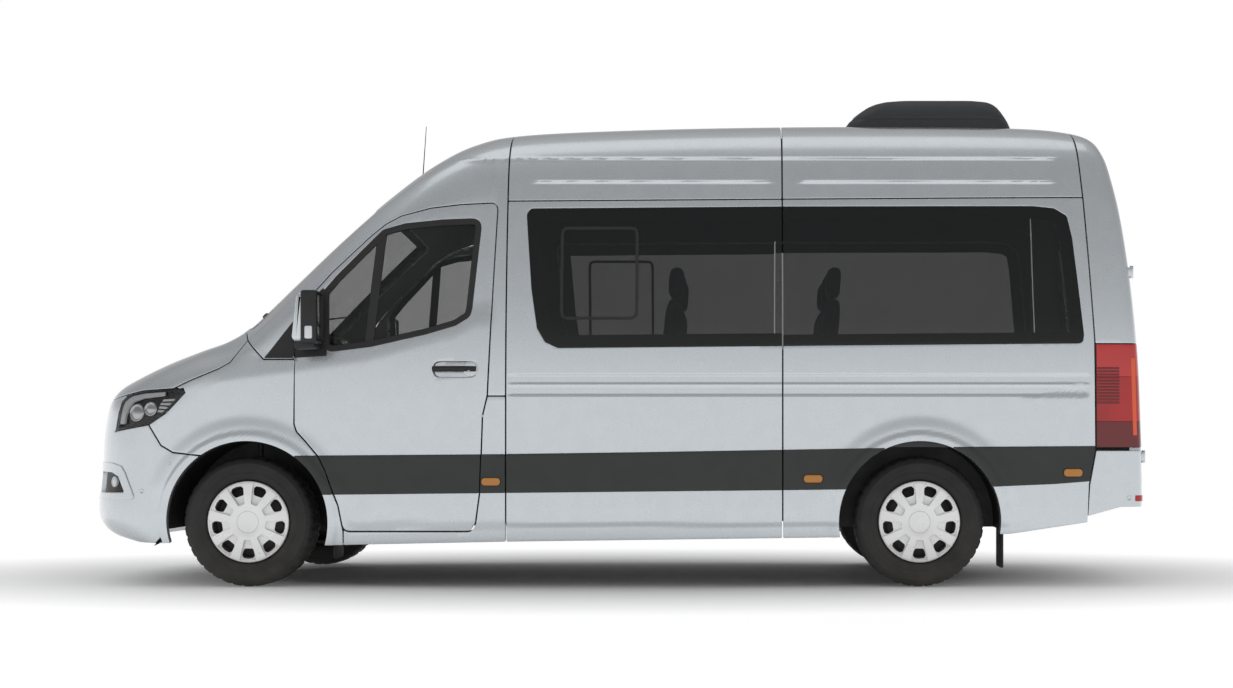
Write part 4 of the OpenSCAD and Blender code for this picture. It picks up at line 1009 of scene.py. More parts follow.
def lathe(bm, profile, center, axis="Y", steps=64, slot_index=0, closed=False):
    """A profile of (radius, along) turned round an axis through center, in millimetres."""
    unit = {"X": Vector((1, 0, 0)), "Y": Vector((0, 1, 0)), "Z": Vector((0, 0, 1))}[axis]
    side = {"X": Vector((0, 0, 1)), "Y": Vector((0, 0, 1)), "Z": Vector((1, 0, 0))}[axis]
    center = Vector(center)
    verts = [bm.verts.new((center + side * r + unit * a) * MM) for r, a in profile]
    edges = [bm.edges.new(pair) for pair in zip(verts, verts[1:] + (verts[:1] if closed else []))]
    spun = bmesh.ops.spin(bm, geom=verts + edges, cent=center * MM, axis=unit, angle=math.tau, steps=steps,
                          use_merge=True)
    faces = {f for v in verts for f in v.link_faces}
    faces |= {g for g in spun["geom_last"] if isinstance(g, bmesh.types.BMFace)}
    return verts, faces


def slab(bm, outline, low, high, along="Y", radius=0.0, segments=3):
    """An outline in (x, z), or (y, z) when it runs along X, pushed from low to high, with rounded edges."""
    place = {"Y": lambda a, b: (a, low, b), "X": lambda a, b: (low, a, b), "Z": lambda a, b: (a, b, low)}[along]
    verts = [bm.verts.new(Vector(place(*p)) * MM) for p in outline]
    face = bm.faces.new(verts)
    new = bmesh.ops.extrude_face_region(bm, geom=[face])
    shift = {"Y": (0, high - low, 0), "X": (high - low, 0, 0), "Z": (0, 0, high - low)}[along]
    top = [v for v in new["geom"] if isinstance(v, bmesh.types.BMVert)]
    bmesh.ops.translate(bm, verts=top, vec=Vector(shift) * MM)
    if radius:
        rim = [e for e in {e for v in verts + top for e in v.link_edges}
               if (e.verts[0] in top) == (e.verts[1] in top)]
        out = bmesh.ops.bevel(bm, geom=rim, offset=radius * MM, segments=segments, profile=0.5, affect="EDGES",
                              material=-1)
        return list({v for f in out["faces"] for v in f.verts} | {v for v in verts + top if v.is_valid})
    return verts + top


def bar_along(bm, path, radius, sides=16):
    """A round bar along a path of points in millimetres; radius is one number or one for each point."""
    points = [Vector(p) * MM for p in path]
    rings = []
    for k, point in enumerate(points):
        ahead = points[min(k + 1, len(points) - 1)] - points[max(k - 1, 0)]
        turn = ahead.to_track_quat("Z", "Y").to_matrix().to_4x4()
        size = radius[k] if isinstance(radius, (list, tuple)) else radius
        ring = bmesh.ops.create_circle(bm, cap_ends=k in (0, len(points) - 1), segments=sides, radius=size * MM,
                                       matrix=Matrix.Translation(point) @ turn)["verts"]
        rings.append(ring)
    for a, b in zip(rings, rings[1:]):
        loop = [e for e in bm.edges if e.is_valid and (e.verts[0] in a and e.verts[1] in a)
                or (e.verts[0] in b and e.verts[1] in b)]
        bmesh.ops.bridge_loops(bm, edges=loop)
    return [v for ring in rings for v in ring]


def finish_piece(name, bm, body, materials, slot, both=None, replaces=(), sharp=38):
    """Closes the normals, makes the object, and its twin on the right side where both is given."""
    bmesh.ops.recalc_face_normals(bm, faces=bm.faces)
    obj = piece(name, bm, body, materials, slot, sharp, replaces)
    if both:
        flip(obj, both[0], both[1], both[2:])
    return obj


def smooth_path(points, steps=8):
    """A smooth curve of points through the given ones."""
    pts = [Vector(p) for p in points]
    out = []
    for k in range(len(pts) - 1):
        a, b, c, d = pts[max(k - 1, 0)], pts[k], pts[k + 1], pts[min(k + 2, len(pts) - 1)]
        for t in spread(0, 1, steps)[:-1] if k < len(pts) - 2 else spread(0, 1, steps):
            out.append(0.5 * (2 * b + (c - a) * t + (2 * a - 5 * b + 4 * c - d) * t * t
                              + (3 * b - a - 3 * c + d) * t ** 3))
    return out


# %% [markdown]
# ## Wheels
# A tyre is a turned section: bead, flexing side wall with its moulded rings, shoulder and grooved tread. The cover
# is a domed disc with nine windows cut through it, over a recessed dish with a vent hole in each window.

# %% Tyre
WHEEL_Y = 865
TYRE_SIDE = [(205, 79), (214, 81), (221, 83), (227, 92), (233, 102), (244, 108), (256, 111.5), (262, 112.5),
             (264, 114), (269, 114.2), (271, 113), (286, 115.4), (302, 116.6), (314, 115.6), (316, 116.6),
             (321, 115.8), (323, 113.6), (332, 109), (340, 102), (346, 95), (350.5, 87), (353.6, 77), (355, 68)]
TREAD_SIDE = [(355.4, 62), (355.6, 51), (348, 49.5), (348, 40.5), (355.8, 39), (356, 19.5), (348, 18), (348, 9),
              (356, 7.5)]
half_tyre = TYRE_SIDE + TREAD_SIDE
tyre_profile = [(r, -a) for r, a in half_tyre] + [(r, a) for r, a in reversed(half_tyre)]
tyre_profile += [(196, 60), (196, -60)]
TREAD_STEPS = 180
bm = bmesh.new()
lathe(bm, tyre_profile, (0, 0, 0), "Y", TREAD_STEPS, closed=True)
for v in bm.verts:
    radius = math.hypot(v.co.x, v.co.z) / MM
    if radius < 342:
        continue
    across_tread = v.co.y / MM
    spot = round(math.atan2(v.co.z, v.co.x) / math.tau * TREAD_STEPS) % 5
    shoulder = abs(across_tread) > 50
    sipe = spot == (0 if across_tread > 0 else 2) or (not shoulder and spot == 3 and abs(across_tread) > 5)
    if sipe:
        v.co.x *= (radius - 6) / radius
        v.co.z *= (radius - 6) / radius
bmesh.ops.recalc_face_normals(bm, faces=bm.faces)
tyre_mesh = bpy.data.meshes.new("tyre")
bm.to_mesh(tyre_mesh)
bm.free()

# %% [markdown]
# ### Wheel cover
# The real cover is injection moulded. A turned disc is cut by nine window shapes and its edges are
# softened, with a recessed dish behind it. The middle stays blank.

# %% Wheel cover: a domed disc with nine windows
SPOKES = 9
COVER_FACE = 112
dome = [(0.01, 2), (52, 2), (57, 1.2), (58.5, 4.2), (60, 0.6), (90, -1), (120, -1.5), (150, 0.5), (185, 3.5),
        (205, 5), (214, 6), (219, 8), (222, 11.5), (223, 16)]
back = [(217, 20), (205, 20), (120, 16), (60, 15), (0.01, 15)]
cover_profile = [(r, -COVER_FACE + a) for r, a in dome + back]
bm = bmesh.new()
lathe(bm, cover_profile, (0, 0, 0), "Y", 108)
bmesh.ops.remove_doubles(bm, verts=bm.verts, dist=0.05 * MM)
bmesh.ops.recalc_face_normals(bm, faces=bm.faces)
cover_mesh = bpy.data.meshes.new("cover")
bm.to_mesh(cover_mesh)
bm.free()
cover = bpy.data.objects.new("cover", cover_mesh)
scene.collection.objects.link(cover)
window_half = math.radians(180 / SPOKES)
petals = bmesh.new()
for k in range(SPOKES):
    middle = math.radians(90) + (k + 0.5) * math.tau / SPOKES
    spoke_half = 26
    inner, outer = 98, 212
    near = inner * math.sin(window_half) - spoke_half + 12
    wide = outer * math.sin(window_half) - spoke_half
    shape = [(inner, -near), (inner + 20, -near - 4), (outer * math.cos(window_half * 0.5), -wide)]
    shape += [(outer * math.cos(a), outer * math.sin(a)) for a in spread(-0.16, 0.16, 6)]
    shape += [(outer * math.cos(window_half * 0.5), wide), (inner + 20, near + 4), (inner, near)]
    shape = rounded(shape, 14, 6)
    turn = [(u * math.cos(middle) - v * math.sin(middle),
             u * math.sin(middle) + v * math.cos(middle)) for u, v in shape]
    slab(petals, turn, -COVER_FACE - 30, -COVER_FACE + 40)
bmesh.ops.recalc_face_normals(petals, faces=petals.faces)
petal_mesh = bpy.data.meshes.new("petals")
petals.to_mesh(petal_mesh)
petals.free()
petal_cutter = bpy.data.objects.new("petals", petal_mesh)
scene.collection.objects.link(petal_cutter)
boolean = cover.modifiers.new("windows", "BOOLEAN")
boolean.solver = "MANIFOLD"
boolean.object = petal_cutter
soften = cover.modifiers.new("soften", "BEVEL")
soften.width = 2.2 * MM
soften.segments = 3
soften.limit_method = "ANGLE"
soften.angle_limit = math.radians(40)
apply_modifiers(cover)
print("cover", len(cover.data.polygons), "faces")

# %% The recessed dish, with its vent holes
dish = [(86, 12), (96, 17), (112, 20), (140, 23), (165, 24), (188, 22), (204, 17), (212, 12), (212, 15),
        (205, 20),
        (188, 26), (165, 28), (140, 27), (112, 24), (96, 21), (86, 16)]
bm = bmesh.new()
lathe(bm, [(r, -COVER_FACE + a) for r, a in dish], (0, 0, 0), "Y", 108, closed=True)
bmesh.ops.recalc_face_normals(bm, faces=bm.faces)
dish_mesh = bpy.data.meshes.new("dish")
bm.to_mesh(dish_mesh)
bm.free()
dish_obj = bpy.data.objects.new("dish", dish_mesh)
scene.collection.objects.link(dish_obj)
holes = bmesh.new()
for k in range(SPOKES):
    middle = math.radians(90) + (k + 0.5) * math.tau / SPOKES
    vent = [(146, -22), (160, -30), (182, -36), (198, -26), (202, 0), (198, 26), (182, 36), (160, 30),
            (146, 22)]
    turn = [(u * math.cos(middle) - v * math.sin(middle), u * math.sin(middle) + v * math.cos(middle))
            for u, v in rounded(vent, 10, 5)]
    slab(holes, turn, -COVER_FACE - 30, -COVER_FACE + 60)
bmesh.ops.recalc_face_normals(holes, faces=holes.faces)
hole_mesh = bpy.data.meshes.new("holes")
holes.to_mesh(hole_mesh)
holes.free()
hole_cutter = bpy.data.objects.new("holes", hole_mesh)
scene.collection.objects.link(hole_cutter)
boolean = dish_obj.modifiers.new("vents", "BOOLEAN")
boolean.solver = "MANIFOLD"
boolean.object = hole_cutter
apply_modifiers(dish_obj)
CUTTERS += [petal_cutter, hole_cutter, cover, dish_obj]

# %% Steel rim behind the cover
rim_profile = [(200, -80), (202, -84), (214, -86), (218, -90), (217, -94), (208, -96), (196, -90), (190, -70),
               (186, -40), (172, -34), (172, 0), (188, 20), (194, 70), (200, 92), (214, 92), (217, 88),
               (212, 84),
               (200, 82), (196, 60), (182, 20), (178, -20), (192, -46)]
bm = bmesh.new()
lathe(bm, rim_profile, (0, 0, 0), "Y", 72, closed=True)
lathe(bm,
      [(0.01, -58), (60, -60), (90, -54), (150, -42), (176, -36), (176, -30), (150, -36), (90, -48),
       (0.01, -50)],
      (0, 0, 0), "Y", 72)
bmesh.ops.remove_doubles(bm, verts=bm.verts, dist=0.05 * MM)
bmesh.ops.recalc_face_normals(bm, faces=bm.faces)
rim_mesh = bpy.data.meshes.new("rim")
bm.to_mesh(rim_mesh)
bm.free()

# %% Place four wheels
for axle, spot in (("front", AXLE_F), ("rear", AXLE_R)):
    for side, sign in (("left", 1), ("right", -1)):
        for part, source, mats, slot in (("tyre", tyre_mesh, [TYRE], "tyre"),
                                         ("rim", rim_mesh, [CHASSIS], "chassis_steel"),
                                         ("cover", cover.data, [RIM], "wheel_silver"),
                                         ("dish", dish_obj.data, [RIM], "wheel_silver")):
            bm = bmesh.new()
            bm.from_mesh(source)
            if sign < 0:
                bmesh.ops.transform(bm, matrix=Matrix.Rotation(math.pi, 4, "Z"), verts=bm.verts)
            bmesh.ops.translate(bm, verts=bm.verts, vec=Vector((spot, -WHEEL_Y * sign, TYRE_R)) * MM)
            stands = {"tyre": [f"tyre_{axle}_{side}"], "rim": [f"wheel_{axle}_{side}"]}.get(part, [])
            piece(f"{part}_skin_{axle}_{side}", bm, f"{axle}_wheel_{side}", mats, slot, 32, stands)

# %% [markdown]
# ## The front end
# The lamp is a clear cover over a dark bowl, with a white light guide that hooks over its top and four short
# daytime bars. The grille and the lower intake are dark nets behind bars. None of them carries a badge.

# %% Places on the surface
from mathutils.bvhtree import BVHTree

TREES = {obj.name: BVHTree.FromObject(obj, bpy.context.evaluated_depsgraph_get()) for obj in SKINS}


def on_side(skin_obj, x, z):
    """Point and outward normal on the left side at (x, z), in millimetres."""
    place, normal, _, _ = TREES[skin_obj.name].ray_cast(Vector((x, -3000, z)) * MM, Vector((0, 1, 0)))
    return place / MM, (normal if normal.y < 0 else -normal)


def on_front(y, z):
    """Point and outward normal on the front at (y, z), in millimetres."""
    place, normal, _, _ = TREES[front_skin.name].ray_cast(Vector((-5000, y, z)) * MM, Vector((1, 0, 0)))
    return place / MM, (normal if normal.x < 0 else -normal)


def on_tail(y, z):
    """Point and outward normal on the tail at (y, z), in millimetres."""
    place, normal, _, _ = TREES[tail_skin.name].ray_cast(Vector((5000, y, z)) * MM, Vector((-1, 0, 0)))
    return place / MM, (normal if normal.x > 0 else -normal)


def button(bm, place, normal, profile, steps=32):
    """A small turned shape whose axis is the surface normal; profile is (radius, height)."""
    before = set(bm.verts)
    lathe(bm, profile, (0, 0, 0), "Z", steps)
    fresh = [v for v in bm.verts if v not in before]
    turn = Matrix.Translation(Vector(place) * MM) @ Vector(normal).to_track_quat("Z", "Y").to_matrix().to_4x4()
    bmesh.ops.transform(bm, matrix=turn, verts=fresh)
    bmesh.ops.remove_doubles(bm, verts=[v for v in fresh if v.is_valid], dist=0.02 * MM)


def sensor(bm, place, normal, radius):
    """A parking sensor: a disc with a fine raised ring."""
    button(bm, place, normal,
           [(radius + 2, -2), (radius + 2, 1.0), (radius, 2.0), (radius - 1.5, 1.0), (0.01, 1.2)])


# %% Headlamps
lamp_side = outside(-HEAD_INNER - 6)
lamp_cut = [prism(grown(LAMP, -5)), lamp_side]
strip("headlamp_cover_left", front_skin, lamp_cut, [], "body", [LENS], "lamp_clear", -1, 4, SMALL_ROLL,
      ["headlamps"],
      ("headlamp_cover_right", "body", "headlamps"))
strip("headlamp_rim_left", front_skin, [prism(grown(LAMP, -3)), lamp_side], [prism(grown(LAMP, -13))], "body",
      [GLOSS], "gloss_black", -6, 26, SMALL_ROLL, (), ("headlamp_rim_right", "body"))
strip("headlamp_bowl_left", front_skin, [prism(grown(LAMP, -8)), lamp_side], [], "body", [GLOSS], "gloss_black",
      -30, 4, SMALL_ROLL, (), ("headlamp_bowl_right", "body"))
guide = [(-2693, 892), (-2689, 960), (-2663, 1020), (-2605, 1058), (-2527, 1071), (-2420, 1071), (-2420, 1046),
         (-2551, 1038), (-2610, 1018), (-2638, 986), (-2659, 932), (-2664, 893)]
strip("light_guide_left", front_skin, [prism(guide), lamp_side], [], "body", [WHITE_LENS], "lamp_clear", -8, 14,
      SMALL_ROLL, (), ("light_guide_right", "body"))
for k, (a,
        b) in enumerate((((-2432, 1020), (-2364, 1022)), ((-2444, 1001), (-2378, 998)),
                         ((-2452, 982), (-2392, 976)),
                            ((-2458, 962), (-2408, 955)))):
    quad = [(a[0], a[1] - 5), (b[0], b[1] - 5), (b[0] + 8, b[1] + 5), (a[0] + 8, a[1] + 5)]
    strip(f"day_light_{k}_left", front_skin, [prism(quad), lamp_side], [], "body", [WHITE_LENS],
          "lamp_clear", -10, 10,
          SMALL_ROLL, (), (f"day_light_{k}_right", "body"))
bm = bmesh.new()
for x, z, radius in ((-2590, 955, 40), (-2505, 975, 30)):
    place, normal = on_side(front_skin, x, z)
    button(bm, place - normal * 24, normal, [(radius + 8, -8), (radius + 8, 4), (radius + 4, 7), (radius, 2),
                                             (radius - 4, 1), (radius * 0.7, 6), (radius * 0.35, 10),
                                             (0.01, 11)])
finish_piece("headlamp_projectors_left", bm, "body", [CHROME], "lamp_clear",
             ("headlamp_projectors_right", "body"))

# %% [markdown]
# ### Grille
# Blades in front of a net, framed by a black lip. Cutting them from the nose keeps its curve in plan.

# %% Grille and lower intake
grille_shape = rounded(mirrored(GRILLE), 30)
under_bonnet = prism(grown(BONNET, 22))


def front_piece(name, outline, mat, slot, lift, depth, roll=SMALL_ROLL, limits=(), replaces=()):
    """A piece of the nose inside a (y, z) outline, laid at a lift from the surface."""
    bm = cut(front_skin, [prism(outline, -FAR, -1500, "X"), *limits], [under_bonnet])
    thicken(bm, depth, lift, roll)
    return piece(name, bm, "body", [mat], slot, replaces=replaces)


front_piece("grille_net", grown(grille_shape, -2), BLACK, "gloss_black", -26, 5, replaces=["grille"])
grille_edge = prism(grown(grille_shape, -9), -FAR, -1500, "X")
bm = cut(front_skin, [prism(grown(grille_shape, 1), -FAR, -1500, "X")],
         [prism(grown(grille_shape, -16), -FAR, -1500, "X"), under_bonnet])
thicken(bm, 26, -1, SEAL_ROLL)
piece("grille_frame", bm, "body", [GLOSS], "gloss_black")
for k, height in enumerate((712, 796, 880, 964)):
    blade = [(-600, height - 15), (600, height - 15), (600, height + 15), (-600, height + 15)]
    front_piece(f"grille_blade_{k}", blade, GLOSS, "gloss_black", -4, 14, SEAL_ROLL, [grille_edge])
INTAKE = rounded(mirrored([(640, 398), (640, 462)]), 16)
front_piece("intake_net", grown(INTAKE, -2), BLACK, "dark_plastic", -18, 4)
for k, height in enumerate((414, 430, 446)):
    blade = [(-636, height - 3), (636, height - 3), (636, height + 3), (-636, height + 3)]
    front_piece(f"intake_bar_{k}", blade, BLACK, "dark_plastic", -6, 10)

# %% Fog lamp recesses, parking sensors and the blank number plate
strip("fog_bezel_left", front_skin, [prism(FOG_OUT), outside(-640)],
      [prism(grown(FOG_IN, 1))], "body", [PAINT], "body_paint", 6, 14, ROLL, (), ("fog_bezel_right", "body"))
strip("fog_recess_left", front_skin, [prism(grown(FOG_IN, -3)), outside(-664)],
      [], "body", [BLACK], "dark_plastic", -24, 4, SMALL_ROLL, (), ("fog_recess_right", "body"))
bm = bmesh.new()
place, normal = on_side(front_skin, -2738, 574)
button(bm, place - normal * 20, normal, [(30, -6), (30, 6), (27, 9), (24, 5), (14, 8), (0.01, 9)])
finish_piece("fog_lamp_left", bm, "body", [WHITE_LENS], "lamp_clear", ("fog_lamp_right", "body"))
bm = bmesh.new()
for x, z, size in ((-2541, 523, 11), (-2383, 673, 6)):
    place, normal = on_side(front_skin, x, z)
    sensor(bm, place, normal, size)
for y, z in ((-520, 560), (-210, 560)):
    place, normal = on_front(y, z)
    sensor(bm, place, normal, 11)
finish_piece("front_sensors_left", bm, "body", [PAINT], "body_paint", ("front_sensors_right", "body"))
front_piece("number_plate_front", rounded(mirrored([(260, 500), (260, 612)]), 8), WHITE_LENS, "body_paint",
            6, 8)

# %% [markdown]
# ## Tail
# The tail lamp is one red moulding from waist to bumper, paler above, with an orange strip at its rear edge and a
# ribbed dark block inside. The doors hang on outside hinges, and a lamp sits in the lip over them.

# %% Tail lamps
tail_side = outside(-lamp_y - 1)
lamp_x0, lamp_x1 = 2666, 3400


def tail_strip(name, z0, z1, mat, slot, lift, depth, x0=lamp_x0 - 1, y_in=None, replaces=()):
    """A band of the tail lamp between two heights."""
    zone = prism([(x0, z0), (x0 - 3 * (z1 - z0) / 500, z1), (lamp_x1, z1), (lamp_x1, z0)])
    side = tail_side if y_in is None else outside(-y_in)
    strip(f"{name}_left", tail_skin, [zone, side], [], "body", [mat], slot, lift, depth, SMALL_ROLL, replaces,
          (f"{name}_right", "body", *replaces))


tail_strip("tail_lamp_base", LAMP_BOTTOM + 1, LAMP_TOP - 1, BLACK, "lamp_red", -3, 30, replaces=["tail_lamps"])
tail_strip("tail_lamp_foot", LAMP_BOTTOM + 4, 905, RED_DARK, "lamp_red", 1.5, 12, lamp_x0 + 3)
tail_strip("tail_lamp_middle", 907, 1150, RED, "lamp_red", 1.5, 12, lamp_x0 + 3)
tail_strip("tail_lamp_top", 1152, LAMP_TOP - 4, RED_PALE, "lamp_red", 1.5, 12, lamp_x0 + 3)
block_lines = [(LAMP_BOTTOM + 240 + 17 * k) for k in range(12)]
for k, z in enumerate(block_lines):
    zone = prism([(lamp_x0 + 4, z), (lamp_x0 + 4, z + 9), (2790, z + 9), (2790, z)])
    strip(f"tail_lamp_rib_{k}_left", tail_skin, [zone, tail_side], [], "body", [RED_DARK], "lamp_red", 3, 5,
          SMALL_ROLL,
          (), (f"tail_lamp_rib_{k}_right", "body"))
zone = prism([(2868, 830), (2856, 1250), (3000, 1250), (3000, 830)])
strip("tail_lamp_strip_left", tail_skin, [zone, tail_side],
      [prism([(2890, 700), (2872, 1400), (3000, 1400), (3000, 700)])],
      "body", [ORANGE], "lamp_red", 3, 5, SMALL_ROLL, (), ("tail_lamp_strip_right", "body"))

# %% [markdown]
# ### Hinges, lamp, handle and step
# Small castings and mouldings that are bolted on outside, so they are rounded blocks and turned pins.

# %% Rear fittings
bm = bmesh.new()
for z in (712, 1726):
    place, normal = on_tail(-860, z)
    block(bm, (place.x - 26, place.y - 52, z - 26), (place.x + 14, place.y - 4, z + 26), 9, 4)
    lathe(bm, [(0.01, -34), (9, -34), (10, -32), (10, 32), (9, 34), (0.01, 34)],
          (place.x + 6, place.y - 40, z), "Z", 20)
finish_piece("rear_hinges_left", bm, "body", [PAINT], "body_paint", ("rear_hinges_right", "body"))
bm = bmesh.new()
place, normal = on_tail(0, 2480)
slab(bm, rounded(mirrored([(250, 2468), (240, 2492)]), 8), place.x - 20, place.x + 14, "X", 5)
finish_piece("high_brake_lamp", bm, "body", [RED], "lamp_red")
bm = bmesh.new()
place, normal = on_tail(-70, 1180)
block(bm, (place.x - 12, -112, 1120), (place.x + 4, -28, 1240), 10, 4)
block(bm, (place.x + 4, -96, 1136), (place.x + 17, -44, 1226), 6, 3)
finish_piece("rear_handle", bm, "rear_door_left", [BLACK], "dark_plastic")
bm = bmesh.new()
place, normal = on_tail(300, 1000)
block(bm, (place.x - 8, 60, 930), (place.x + 4, 580, 1042), 3, 2)
finish_piece("number_plate_rear", bm, "rear_door_right", [WHITE_LENS], "body_paint")
bm = bmesh.new()
block(bm, (2900, -640, 470), (2966, 640, 530), 12, 4)
for k in range(5):
    block(bm, (2908 + 11 * k, -620, 529), (2913 + 11 * k, 620, 532.5), 1.2, 2)
finish_piece("rear_step", bm, "body", [BLACK], "dark_plastic", replaces=["rear_bumper"])
bm = bmesh.new()
place, normal = on_side(tail_skin, 2845, 486)
sensor(bm, place, normal, 12)
finish_piece("rear_sensors_left", bm, "body", [PAINT], "body_paint", ("rear_sensors_right", "body"))
bm = cut(tail_skin, [prism([(2880, 470), (2880, 500), (3000, 500), (3000, 470)]), tail_side])
thicken(bm, 6, 4, SMALL_ROLL)
reflector = piece("rear_reflector_left", bm, "body", [RED], "lamp_red")
flip(reflector, "rear_reflector_right", "body")

# %% [markdown]
# ## Sides
# Marker lamps sit on the band, the door handle bridges a cup pressed into the door, and the mirror stands on a
# short arm from the sail.

# %% Inner lining, which closes the seams from inside
lining_zone = [prism([(-1400, 770), (2640, 770), (2580, 2900), (-1400, 2900)])]
for name, source in (("cabin_lining", coarse_side), ("cabin_headlining", coarse_roof)):
    bm = cut(source, lining_zone,
             [prism(grown(rounded(SIDE_WINDOW, 20), 14)), prism(grown(rounded(CAB_DOOR, 45, 5), 30))])
    thicken(bm, 3, -WALL - 8, SMALL_ROLL)
    lining = piece(f"{name}_left", bm, "body", [DASH], "dark_plastic")
    if source is coarse_side:
        flip(lining, f"{name}_right", "body")

# %% Marker lamps
def oval(x, z, half_x, half_z):
    """A rounded-end outline."""
    return rounded([(x - half_x, z - half_z), (x + half_x, z - half_z), (x + half_x, z + half_z),
                    (x - half_x, z + half_z)], min(half_x, half_z) * 0.98, 8)


for k, (source, x, z) in enumerate(((front_skin, -632, 576), (side_skin, 1121, 592), (side_skin, 2536, 625))):
    strip(f"marker_{k}_left", source, [prism(oval(x, z, 48, 18), *LEFT)], [], "body", [AMBER], "lamp_clear",
          15, 8,
          BAND_ROLL, (), (f"marker_{k}_right", "body"))
    strip(f"marker_rim_{k}_left", source, [prism(oval(x, z, 54, 23), *LEFT)], [], "body", [BLACK],
          "dark_plastic", 11,
          5, SMALL_ROLL, (), (f"marker_rim_{k}_right", "body"))

# %% [markdown]
# ### Door handle
# A cup is pressed into the door and a bar bridges it. The bar follows the surface at a small lift.

# %% Door handles
strip("handle_cup_left", front_skin, [prism(oval(HANDLE[0], HANDLE[1], 118, 42), *LEFT)], [],
      "cab_door_left", [PAINT],
      "body_paint", -26, 3, SMALL_ROLL, (), ("handle_cup_right", "cab_door_right"))
bm = bmesh.new()
grip = [on_side(front_skin, x, HANDLE[1] + 2) for x in spread(-948, -712, 12)]
path = [p + n * (6 + 14 * math.sin(math.pi * min(1, max(0, k / 12)))) for k, (p, n) in enumerate(grip)]
bar_along(bm, path, [15] * len(path), 20)
finish_piece("handle_grip_left", bm, "cab_door_left", [BLACK], "dark_plastic",
             ("handle_grip_right", "cab_door_right"))
strip("handle_cap_left", front_skin, [prism(oval(-744, HANDLE[1] + 2, 34, 38), *LEFT)], [], "cab_door_left",
      [PAINT],
      "body_paint", 9, 16, BAND_ROLL, (), ("handle_cap_right", "cab_door_right"))
bm = bmesh.new()
place, normal = on_side(front_skin, -752, HANDLE[1])
button(bm, place + normal * 22, normal, [(12, -14), (12, 0), (10, 2), (0.01, 2)])
finish_piece("handle_lock_left", bm, "cab_door_left", [WHITE_LENS], "body_paint",
             ("handle_lock_right", "cab_door_right"))

# %% [markdown]
# ### Mirror
# A painted cap in front of a black shell with two recessed glasses. The shell face is inset and sunk.

# %% Mirrors
bm = bmesh.new()
block(bm, (-1672, -1172, 1330), (-1606, -1020, 1598), 30, 6)
for v in bm.verts:
    height = (v.co.z / MM - 1330) / 268
    v.co.x += (30 * height ** 2 - 8) * MM * (v.co.x < -1640 * MM)
finish_piece("mirror_cap_left", bm, "cab_door_left", [PAINT], "body_paint",
             ("mirror_cap_right", "cab_door_right", "mirror_right"), ["mirror_left"], 60)
bm = bmesh.new()
block(bm, (-1628, -1180, 1322), (-1540, -1012, 1606), 16, 5)
back = max(bm.faces, key=lambda face: face.normal.x * face.calc_area())
bmesh.ops.inset_region(bm, faces=[back], thickness=3 * MM, depth=0)
bmesh.ops.inset_region(bm, faces=[back], thickness=2 * MM, depth=-12 * MM)
finish_piece("mirror_shell_left", bm, "cab_door_left", [BLACK], "dark_plastic",
             ("mirror_shell_right", "cab_door_right"))
bm = bmesh.new()
block(bm, (-1551, -1156, 1424), (-1547, -1036, 1582), 1.5, 2)
block(bm, (-1551, -1156, 1346), (-1547, -1036, 1416), 1.5, 2)
finish_piece("mirror_glass_left", bm, "cab_door_left", [CHROME], "gloss_black",
             ("mirror_glass_right", "cab_door_right"))
bm = bmesh.new()
block(bm, (-1604, -1187, 1344), (-1562, -1130, 1414), 10, 4)
finish_piece("mirror_repeater_left", bm, "cab_door_left", [WHITE_LENS], "lamp_clear",
             ("mirror_repeater_right", "cab_door_right"))
bm = bmesh.new()
slab(bm, rounded([(-1668, 1290), (-1560, 1296), (-1560, 1330), (-1620, 1352), (-1668, 1330)], 12), -1150,
     -962, "Y", 8)
block(bm, (-1640, -1040, 1330), (-1590, -970, 1400), 12, 4)
finish_piece("mirror_arm_left", bm, "cab_door_left", [BLACK], "dark_plastic",
             ("mirror_arm_right", "cab_door_right"))

# %% Mud flaps
bm = bmesh.new()
slab(bm, rounded([(-920, 150), (-712, 150), (-712, 530), (-920, 530)], 24), AXLE_F + 455, AXLE_F + 466, "X", 3)
slab(bm, rounded([(-920, 100), (-712, 100), (-712, 540), (-920, 540)], 24), AXLE_R + 455, AXLE_R + 466, "X", 3)
finish_piece("mud_flaps_left", bm, "body", [RUBBER], "rubber", ("mud_flaps_right", "body", "mudflaps"),
             ["mudflaps"])

# %% [markdown]
# ## On the roof and the screen
# The air conditioner is a lofted hood with two swages along its flanks; the aerial is a whip on a moulded foot.
# The wipers park along the foot of the screen.

# %% Roof unit
unit_rings = [(-10, 1330, 2297, 430), (8, 1332, 2297, 430), (30, 1348, 2288, 428), (46, 1360, 2281, 425),
              (50, 1366, 2279, 419), (54, 1370, 2277, 421), (75, 1388, 2264, 418), (104, 1424, 2246, 409),
              (131, 1463, 2226, 398), (148, 1498, 2208, 384), (160, 1535, 2189, 368), (170, 1592, 2150, 336),
              (176, 1650, 2100, 280), (179, 1710, 2040, 180)]
bm = bmesh.new()
rings = []
for up, front, rear, half in unit_rings:
    outline = rounded([(front, -half), (rear, -half), (rear, half), (front, half)], min(120, half * 0.5), 8)
    rings.append([bm.verts.new(Vector((x, y, 2605 + up)) * MM) for x, y in outline])
for lower, upper in zip(rings, rings[1:]):
    for k in range(len(lower)):
        bm.faces.new((lower[k - 1], lower[k], upper[k], upper[k - 1]))
bm.faces.new(rings[-1])
bm.faces.new(list(reversed(rings[0])))
finish_piece("roof_unit_hood", bm, "body", [UNIT], "unit_grey", replaces=["roof_air_unit"])
bm = bmesh.new()
for k in range(9):
    block(bm, (1760 + 26 * k, -150, 2782.5), (1772 + 26 * k, 150, 2785.4), 1.2, 2)
finish_piece("roof_unit_vents", bm, "body", [BLACK], "unit_grey")

# %% [markdown]
# ### Aerial
# A whip on a moulded foot: a round bar whose radius shrinks along its path.

